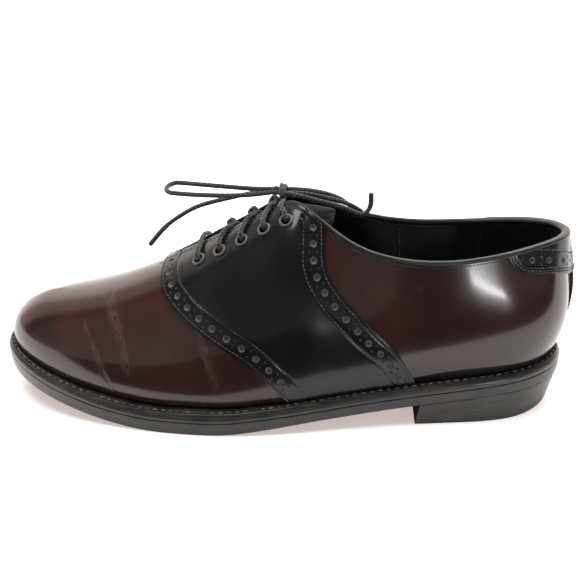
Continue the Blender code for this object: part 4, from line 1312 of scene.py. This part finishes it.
def build_welt():
    turns = np.concatenate([SOLE_TURNS, 2 - SOLE_TURNS[-2:0:-1]])
    run = lengths(np.vstack([on_sole(turns, 3.0, 10.0), on_sole(turns[:1], 3.0, 10.0)]))
    places = np.linspace(0, run[-1], 1501)[:-1]
    turns = np.interp(places, run, np.append(turns, 2.0))
    edge = stand_out(turns)
    base = OUTSOLE_THICK + FIT_GAP
    gap = FIT_GAP - 0.06
    wheel = 0.5 + 0.5 * np.cos(2 * math.pi * places / (run[-1] / round(run[-1] / WELT_STITCH_PITCH)))
    inner = np.full(len(turns), -7.0)
    row = edge - WELT_STITCH_IN
    section = (
        (inner, -gap), (edge - 0.35, -gap), (edge - 0.1, 0.1 - gap), (edge + 0.02, 0.45),
        (edge + 0.02, 1.2), (edge - 0.15, 2.1), (edge - 0.45, 2.95), (edge - 0.85, 3.65),
        (edge - 1.35, 4.15), (edge - 1.75, WELT_THICK), (row + 0.95, WELT_THICK - 0.02),
        (row + 0.7, WELT_THICK - 0.12 - 0.16 * wheel), (row, WELT_THICK - 0.25 - 0.22 * wheel),
        (row - 0.7, WELT_THICK - 0.12 - 0.16 * wheel), (row - 0.95, WELT_THICK - 0.02),
        (np.full(len(turns), 0.7), WELT_THICK), (np.full(len(turns), 0.0), WELT_THICK - 0.05),
        (inner, WELT_THICK - 0.05))
    points = np.stack([on_sole(turns, out, base + high) for out, high in section], 1)
    made = piece("welt_strip", points, grid(len(turns), len(section), True, True),
        edge_dye("welt_dye", 0.26, 2.6), "welt_leather", sharp=60)
    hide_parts("welt")
    line = np.vstack([on_sole(turns, row, base + WELT_THICK),
        on_sole(turns[:1], row[:1], base + WELT_THICK)])
    up = np.tile([0.0, 0.0, 1.0], (len(line), 1))
    pitch = run[-1] / round(run[-1] / WELT_STITCH_PITCH)
    sewing = thread("welt_thread", (0.035, 0.033, 0.031, 1), (0.120, 0.114, 0.106, 1))
    piece("welt_stitching", *stitches(line, up, pitch, 0.62 * pitch, 0.5), sewing, "welt_leather")


build_welt()


# Outsole: one thick piece of leather sewn to the welt, its edge trimmed square, dyed black and waxed.
# Below it is dark stained leather, rubbed paler where the ball of the foot treads.
OUTSOLE_THINNER = 1.4


def thinner(turn):
    """How much thinner the outsole is from the waist back, taken off its lower face."""
    s = np.clip((share_of(turn) - 0.42) / 0.18, 0, 1)
    return OUTSOLE_THINNER * (3 * s**2 - 2 * s**3)


def sole_stain():
    made, shader, where = finish("sole_stain")
    place = where.add("SeparateXYZ", None, {0: where})
    tread = place.over(70.0, 20.0) * place.over(-125.0, -85.0)
    blot, grain, scratch = where.noise(14.0, 4.0), where.noise(0.8, 3.0), where.noise(3.0, 5.0)
    painted_hole_light = (tread * blot.over(0.3, 0.7)) * 0.8
    colour = painted_hole_light.colours((0.014, 0.012, 0.010, 1), (0.075, 0.055, 0.040, 1))
    connect(shader, colour, 0.5 + 0.25 * scratch, 0.05 * grain + 0.06 * scratch)
    return made


def build_outsole():
    edge = stand_out(SOLE_TURNS)
    low, high = thinner(SOLE_TURNS), np.full(len(SOLE_TURNS), OUTSOLE_THICK)
    span = high - low
    loops = [
        (edge - 1.0, low), (edge - 0.35, low + 0.12), (edge - 0.05, low + 0.5),
        (edge + 0.03, low + 0.3 * span), (edge + 0.06, low + 0.6 * span), (edge + 0.06, high - 0.8),
        (edge + 0.04, high - 0.3), (edge - 0.06, high - 0.08), (edge - 0.3, high)]
    points, faces = slab(SOLE_TURNS, loops, 30)
    made = piece("outsole_leather", points, faces, edge_dye("outsole_dye", 0.30, 3.2), "sole_leather",
        sharp=50)
    made.data.materials.append(sole_stain())
    for face in made.data.polygons:
        face.material_index = 1 if face.normal.z < -0.7 else 0
    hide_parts("outsole")


build_outsole()


# Heel: stacked leather lifts over a rubber top piece, glued and nailed under the outsole.
# Its sides are rasped to a taper, dyed black and waxed, and its breast leans forward toward the floor.
HEEL_LEVELS = (
    (1.0, 0.9, 0.0), (0.985, 0.5, 0.012), (0.96, 0.36, 0.045), (0.72, 0.34, 0.285), (0.70, 0.40, 0.30),
    (0.68, 0.34, 0.315), (0.36, 0.34, 0.635), (0.345, 0.39, 0.65), (0.33, 0.34, 0.665), (0.06, 0.34, 0.94),
    (0.02, 0.40, 0.985), (0.0, 0.6, 1.0))
HEEL_TAPER_SIDE = 1.2
HEEL_TAPER_CORNER = 1.8
HEEL_TAPER_BACK = 3.4
BREAST_X = 76.8
BREAST_LEAN = 1.8


def heel_loop(down, inset):
    """Plan of the heel a share of the way down, from its breast round the back to its breast."""
    rows = []
    for medial in (False, True):
        low, high = 0.5, 0.9
        for _ in range(50):
            half = (low + high) / 2
            x = feather_plan(sided(half, medial), stand_out(half) - inset - HEEL_TAPER_SIDE * down)[0][0]
            low, high = (half, high) if x < BREAST_X + BREAST_LEAN * (0.5 - down) else (low, half)
        turns = np.linspace(low, 1, 90)
        s = (turns - low) / (1 - low)
        taper = inset + down * (HEEL_TAPER_SIDE + (HEEL_TAPER_BACK - HEEL_TAPER_SIDE) * s**2
                                + HEEL_TAPER_CORNER * np.exp(-(((s - 0.72) / 0.22) ** 2)))
        rows.append(feather_plan(sided(turns, medial), stand_out(turns) - taper)[0])
    return np.concatenate([rows[0], rows[1][::-1][1:]])


def build_heel():
    rings = []
    for down, inset, share in HEEL_LEVELS:
        plan = heel_loop(down, inset)
        seat = tread_z(np.maximum(plan[:, 0], BREAST_X)) + OUTSOLE_THINNER - FIT_GAP + 0.25
        rings.append(np.column_stack([plan, seat * share]))
    sides = np.array(rings)
    count = sides.shape[1]
    half = count // 2
    faces = grid(len(rings), count, False, True)
    for start in (0, (len(rings) - 1) * count):
        for j in range(half):
            faces.append([start + j, start + j + 1, start + count - 2 - j, start + count - 1 - j])
    made = piece("heel_stack", sides.reshape(-1, 3), faces, edge_dye("heel_dye", 0.30, 0.4, 0.02),
        "heel_block", sharp=50)
    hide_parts("heel")


build_heel()


# Lacing: one round braided black cotton lace through all ten eyelets, a bar at the front and then crossing.
# From each eyelet it comes out over its own facing and goes under the facing opposite.
LACE_RADIUS = 1.2


def tube(line, radius, sides=12):
    """Round tube along a line: points, faces, and the place round and along it for the braid."""
    way = unit(np.gradient(line, axis=0))
    side = np.zeros_like(line)
    side[0] = unit(np.cross(way[0], [0.3, 0.2, 1.0]))
    for i in range(1, len(line)):
        side[i] = unit(side[i - 1] - way[i] * np.dot(side[i - 1], way[i]))
    top = np.cross(way, side)
    angle = np.linspace(0, 2 * math.pi, sides, endpoint=False)
    size = np.broadcast_to(np.asarray(radius, float), (len(line),))[:, None, None]
    ring = side[:, None] * np.cos(angle)[None, :, None] + top[:, None] * np.sin(angle)[None, :, None]
    points = line[:, None] + size * ring
    faces = grid(len(line), sides, round_columns=True)
    faces += [list(range(sides)), [(len(line) - 1) * sides + i for i in range(sides)]]
    around = np.cos(angle)[None], np.sin(angle)[None]
    lay = np.stack(np.broadcast_arrays(*around, lengths(line)[:, None]), -1)
    return points.reshape(-1, 3), faces, lay.reshape(-1, 3)


def evened(line, gap):
    """The same line in space with points a gap apart."""
    run = lengths(line)
    places = np.linspace(0, run[-1], int(run[-1] / gap) + 2)
    return np.stack([np.interp(places, run, line[:, k]) for k in range(3)], -1)


def braided_cotton():
    made, shader, where = finish("braided_cotton", Sheen_Weight=0.25, Sheen_Roughness=0.5)
    lay = where.add("SeparateXYZ", None,
        {0: where.add("Attribute", {"attribute_name": "lay"}, output="Vector")})
    turn = lay.sum("ARCTAN2", lay.other(1), lay) * 3.0
    along = lay.other(2) * 2.6
    one, two = lay.sum("SINE", turn + along), lay.sum("SINE", turn - along)
    strand = lay.sum("MAXIMUM", one, two)
    fuzz, fade = where.noise(0.22, 3.0), where.noise(8.0, 2.0)
    # Painted shade darkens the grooves between the braid's strands, and a random fade varies the tone as
    # well.
    tone = (0.5 * strand.over(-0.3, 1.0) + 0.5 * fade).over(0.2, 0.9)
    colour = tone.colours((0.010, 0.010, 0.010, 1), (0.042, 0.041, 0.040, 1))
    connect(shader, colour, 0.72 + 0.2 * fuzz, 0.16 * strand + 0.10 * fuzz)
    return made


BRAIDED_COTTON = braided_cotton()


def by_facing(share, back, medial, out):
    """Point a distance down from the facing's edge, and out from the surface there."""
    turn = float(sided(turn_of(share), medial))
    return skin(turn, rise_below(turn, back), out)


def between(share, lift):
    """Point in the middle of the gap between the facings."""
    turn = float(turn_of(share))
    up = unit(square_to(turn, 0.97) + square_to(2 - turn, 0.97))
    return (crest(turn) + crest(2 - turn)) / 2 + up * lift


def crossing(first, second, medial, lift):
    """Lace out of one eyelet, over its facing and under the other facing to the next eyelet."""
    a, b = EYELET_SHARES[first], EYELET_SHARES[second]
    up, down = EYELET_BACK[first], EYELET_BACK[second]

    def mix(q):
        return a + (b - a) * q

    return [
        by_facing(a, up - 0.9, medial, -1.4), by_facing(a, up - 0.9, medial, 0.8),
        by_facing(a, up * 0.83, medial, 2.9), by_facing(mix(0.02), up * 0.62, medial, 3.3),
        by_facing(mix(0.07), up * 0.40, medial, 3.0), by_facing(mix(0.18), up * 0.17, medial, 2.7),
        by_facing(mix(0.34), 0.2, medial, 2.3), between(mix(0.5), lift),
        by_facing(mix(0.66), 0.4, not medial, -3.7), by_facing(mix(0.8), down * 0.45, not medial, -4.1),
        by_facing(mix(0.95), down * 0.80, not medial, -3.9)]


def build_lacing():
    sides = []
    for medial in (False, True):
        share, back = EYELET_SHARES[0], EYELET_BACK[0]
        rows = [
            between(share, 2.9), by_facing(share, 0.8, medial, 2.9),
            by_facing(share, back * 0.42, medial, 2.9), by_facing(share, back * 0.77, medial, 3.6),
            by_facing(share, back * 0.94, medial, 2.9), by_facing(share, back + 0.3, medial, 0.8),
            by_facing(share, back + 0.2, medial, -1.6), by_facing(share, back * 0.84, medial, -3.9)]
        low, high = share, EYELET_SHARES[1]
        rows += [
            by_facing(low + (high - low) * 0.3, 0.6, medial, -4.2),
            between((low + high) / 2, -3.0 if medial else -5.4),
            by_facing(low + (high - low) * 0.7, 0.6, not medial, -4.2),
            by_facing(high, EYELET_BACK[1] * 0.84, not medial, -3.9)]
        at = not medial
        for first in (1, 2, 3):
            rows += crossing(first, first + 1, at, -1.9 if at else 0.9)
            at = not at
        share, back = EYELET_SHARES[4], EYELET_BACK[4]
        rows += [
            by_facing(share, back - 0.9, at, -1.4), by_facing(share, back - 0.9, at, 0.8),
            by_facing(share, back * 0.83, at, 2.9), by_facing(share - 0.003, back * 0.6, at, 3.3),
            by_facing(share - 0.008, back * 0.3, at, 3.2)]
        turn = 1 if at else -1
        rows += [np.array([9.4, 3.6 * turn, 107.6]), np.array([8.6, 1.8 * turn, 109.4])]
        sides.append(drawn(rows, 10))
    line = evened(np.concatenate([sides[0][::-1], sides[1][1:]]), 0.7)
    points, faces, lay = tube(line, LACE_RADIUS)
    made = piece("lacing", points, faces, BRAIDED_COTTON, "lace_cord", kept={"lay": lay})
    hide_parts("lace_bar", *["lace_cross_%d" % k for k in (1, 2, 3, 4)])


build_lacing()


# Knot: the same braided cotton lace, wrapped once round both loops and pulled tight.
# The free ends leave at its sides, and it sits on the last crossing.
KNOT_ROUTES = (
    ((3.2, 1.6, 111.3), (7.0, 1.4, 111.4), (13.2, 1.7, 111.1)),
    ((3.2, -1.6, 110.5), (7.0, -1.3, 110.3), (13.2, -1.7, 110.0)),
    ((4.2, 4.9, 110.8), (6.4, 3.6, 110.4), (9.0, 1.4, 109.4)),
    ((13.0, -4.6, 110.5), (10.4, -3.6, 110.6), (8.0, -1.2, 109.4)),
)


def build_knot():
    angle = np.linspace(0, 2 * math.pi, 40)
    later = angle + 0.3
    wraps = [
        np.column_stack([7.3 + 1.0 * np.sin(angle / 2), 4.6 * np.cos(angle), 110.4 + 3.2 * np.sin(angle)]),
        np.column_stack([9.3 + 0.6 * np.cos(angle), 4.0 * np.cos(later), 110.3 + 2.8 * np.sin(later)])]
    routes = wraps + [drawn(rows, 10) for rows in KNOT_ROUTES]
    tubes = [tube(evened(route, 0.7), LACE_RADIUS) for route in routes]
    lay = np.concatenate([made[2] for made in tubes])
    points, faces = joined([made[:2] for made in tubes])
    made = piece("knot_wraps", points, faces, BRAIDED_COTTON, "lace_cord", kept={"lay": lay})
    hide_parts("lace_knot")


build_knot()


# Bow: two loops and two free ends of the same braided cotton lace, hanging out of the knot.
# Each free end is stiffened with an aglet of thread dipped in black resin.
LOOP_FRONT_ROWS = (
    (4.0, 1.5, 111.3), (-7.0, 3.7, 110.9), (-19.0, 4.7, 111.5), (-34.0, 4.9, 112.7), (-45.1, 5.1, 113.6),
    (-47.8, 4.5, 113.4), (-49.7, 2.6, 112.9), (-50.4, 0.0, 112.3), (-49.7, -2.6, 111.7),
    (-47.8, -4.5, 111.2),
    (-45.1, -5.1, 111.0), (-34.0, -4.8, 110.1), (-19.0, -4.1, 109.5), (-7.0, -3.0, 109.7),
    (4.0, -1.5, 110.6))
LOOP_BACK_ROWS = (
    (12.4, 1.6, 111.3), (21.5, 8.2, 108.7), (29.5, 15.2, 105.1), (36.4, 20.3, 100.9), (40.6, 22.6, 97.2),
    (42.7, 23.1, 95.7), (45.0, 22.3, 94.6), (46.8, 20.3, 94.2), (47.6, 17.8, 94.6), (47.3, 15.4, 95.7),
    (45.8, 13.8, 97.2), (41.5, 11.6, 100.3), (35.0, 8.3, 103.5), (27.0, 4.2, 106.7), (19.5, 0.8, 109.1),
    (12.4, -1.6, 110.3))
END_FRONT_ROWS = (
    (5.2, 4.7, 111.0), (-7.0, 8.0, 107.7), (-18.0, 9.6, 104.9), (-32.7, 10.6, 101.1), (-41.3, 11.3, 97.7),
    (-51.2, 12.2, 91.7), (-58.5, 13.0, 85.8), (-67.0, 14.0, 76.6))
END_BACK_ROWS = (
    (12.2, -4.5, 110.7), (20.0, -4.4, 108.7), (29.0, -2.2, 105.6), (37.5, 2.6, 101.8), (45.8, 8.2, 96.6),
    (47.9, 9.6, 95.8), (50.1, 11.0, 96.3), (51.7, 12.0, 98.0), (52.5, 12.5, 100.8), (52.5, 12.5, 106.0))
BOW_ROWS = (
    ("loop_front", LOOP_FRONT_ROWS, 0.115, "object", 0.0),
    ("loop_back", LOOP_BACK_ROWS, 0.094, "object", 0.0),
    ("end_front", END_FRONT_ROWS, 0.083, "fitting", 17.0),
    ("end_back", END_BACK_ROWS, 0.056, "fitting", 8.0),
)


def aglet_resin():
    made, shader, where = finish("aglet_resin", Coat_Weight=0.3, Coat_Roughness=0.2)
    ridges = where.noise(0.9, 3.0)
    colour = ridges.over(0.3, 0.75).colours((0.030, 0.025, 0.023, 1), (0.085, 0.074, 0.070, 1))
    connect(shader, colour, 0.35 + 0.2 * ridges, 0.05 * ridges)
    return made


AGLET_RESIN = aglet_resin()


def build_bow():
    for name, rows, length, far_end, aglet in BOW_ROWS:
        line = evened(drawn(rows, 16), 0.7)
        points, faces, lay = tube(line, LACE_RADIUS)
        made = piece("bow_" + name, points, faces, BRAIDED_COTTON, "lace_cord", kept={"lay": lay})
        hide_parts("lace_" + name)
        if aglet:
            run = lengths(line)
            tip = line[run > run[-1] - aglet]
            tip = np.vstack([tip, tip[-1] + unit(tip[-1] - tip[-2]) * 0.35])
            share = np.linspace(0, 1, len(tip))
            size = np.interp(share, (0, 0.03, 0.9, 0.97, 1), (1.24, 1.36, 1.34, 1.1, 0.6))
            made_tip, shape, _ = tube(tip, size, 16)
            piece("aglet_" + name, made_tip, shape, AGLET_RESIN, "lace_cord")


build_bow()


# Camera: at the photograph's angle to the shoe, a little above it on its outer side and close to it.
# Its place and turn were fitted to landmarks on the shoe's outline: toe, ball, heel, back and collar.
EYE = np.array([44.67, -327.09, 203.28])
YAW, PITCH, ROLL = math.radians(-5.93), math.radians(24.01), math.radians(-1.62)
FOCAL_PIXELS, FRAME_PIXELS = 680.0, 580.0
ahead = np.array([math.sin(YAW) * math.cos(PITCH), math.cos(YAW) * math.cos(PITCH), -math.sin(PITCH)])
level = np.array([math.cos(YAW), -math.sin(YAW), 0.0])
above = np.cross(level, ahead)
right = math.cos(ROLL) * level + math.sin(ROLL) * above
upright = -math.sin(ROLL) * level + math.cos(ROLL) * above
lens = bpy.data.cameras.new("camera")
lens.sensor_width = 36.0
lens.lens = 36.0 * FOCAL_PIXELS / FRAME_PIXELS
camera = bpy.data.objects.new("camera", lens)
bpy.context.scene.collection.objects.link(camera)
camera.matrix_world = Matrix.Translation(((EYE - LAST_CENTRE) * 0.001).tolist()) @ Matrix(
    np.column_stack([right, upright, -ahead]).tolist()).to_4x4()
bpy.context.scene.camera = camera


# Floor and light: a white studio floor under a large soft light, with a bright wall behind.
# The polished leather reflects the near floor's dark edge, the wall, a low window and a ceiling lamp.
FLOOR_WHITE = (0.66, 0.64, 0.625, 1)
DARK_FLOOR = (
    (-0.037, -0.069), (-0.113, -0.072), (-1.10, -0.604), (-9.0, -5.0), (-9.0, -9.0), (9.0, -9.0),
    (9.0, -0.10), (0.52, -0.08),
    (0.307, -0.123), (0.215, -0.135), (0.166, -0.125), (0.138, -0.113), (0.110, -0.097), (0.070, -0.092),
    (0.032, -0.084))
OVERHEAD = ((0.0, 0.25, 1.35), (0.0, 0.0, 0.0), (1.7, 1.4), 62)
WINDOW = ((0.658, -1.086, 0.019), (0.1, -0.03, 0.075), (0.25, 0.032), 1.15)
CEILING_LAMP = ((-0.36, -0.235, 1.69), (0.0, -0.02, 0.10), (0.36, 0.28), 2.7)


def flat_sheet(name, outline, height, finish):
    mesh = bpy.data.meshes.new(name)
    mesh.from_pydata([(x, y, height) for x, y in outline], [], [list(range(len(outline)))])
    mesh.materials.append(finish)
    made = bpy.data.objects.new(name, mesh)
    bpy.context.scene.collection.objects.link(made)
    return made


def soft_light(name, place, target, size, energy):
    light = bpy.data.lights.new(name, "AREA")
    light.shape, light.size, light.size_y, light.energy = "RECTANGLE", size[0], size[1], energy
    made = bpy.data.objects.new(name, light)
    made.location = place
    made.rotation_euler = (Vector(target) - Vector(place)).to_track_quat("-Z", "Y").to_euler()
    bpy.context.scene.collection.objects.link(made)
    return made


def build_studio():
    paint, shader, where = finish("floor_paint", Roughness=0.7, Specular_IOR_Level=0.0,
        Emission_Strength=1.3)
    shade = tuple(0.985 * c for c in FLOOR_WHITE[:3]) + (1,)
    connect(shader, where.noise(40.0, 3.0).colours(FLOOR_WHITE, shade))
    far = where.add("VectorMath", {"operation": "LENGTH"}, {0: where}, "Value").over(450.0, 1300.0)
    seen = where.add("LightPath")
    near = where.add("CombineColor", None, {0: seen * 0.40, 1: seen * 0.345, 2: seen * 0.33})
    shader.id_data.links.new(far.colours(near, (1, 1, 1, 1)).socket, shader.inputs["Emission Color"])
    flat_sheet("floor", ((-30, -30), (30, -30), (30, 30), (-30, 30)), 0.0, paint)
    dark, shader, where = finish("dark_floor_paint", Roughness=0.9, Specular_IOR_Level=0.0)
    connect(shader, where.noise(40.0, 2.0).colours((0.010, 0.009, 0.009, 1), (0.016, 0.015, 0.014, 1)))
    card = flat_sheet("dark_floor", DARK_FLOOR, 0.0002, dark)
    card.visible_camera = card.visible_diffuse = card.visible_shadow = card.visible_transmission = False
    overhead = soft_light("overhead", *OVERHEAD)
    overhead.visible_glossy = False
    window = soft_light("window", *WINDOW)
    window.visible_diffuse = False
    lamp = soft_light("ceiling_lamp", *CEILING_LAMP)
    lamp.visible_diffuse = False
    world = bpy.data.worlds.new("studio")
    world.use_nodes = True
    root = Wire(world.node_tree)
    way = root.add("SeparateXYZ", None, {0: root.add("TexCoord", output="Generated")})
    seen = root.add("LightPath")
    mirrored = seen.other("Is Glossy Ray")
    front, high = way.other(1), way.other(2)
    room = 0.24 * high.over(0.75, 0.0) + 0.16 * way.over(-0.35, -0.65) * way.over(-0.92, -0.80)
    glow = 0.03 + room * front.over(-0.05, -0.15) + 0.6 * front.over(0.03, 0.15)
    glow = glow + 1.1 * front.over(0.34, 0.52)
    white = seen + mirrored * glow + (1 - seen - mirrored) * 0.28
    tint = white.add("CombineColor", None,
        {0: white, 1: white - mirrored * glow * 0.07, 2: white - mirrored * glow * 0.11})
    world.node_tree.links.new(tint.socket, world.node_tree.nodes["Background"].inputs[0])
    bpy.context.scene.world = world
    bpy.context.scene.view_settings.view_transform = "Standard"


build_studio()
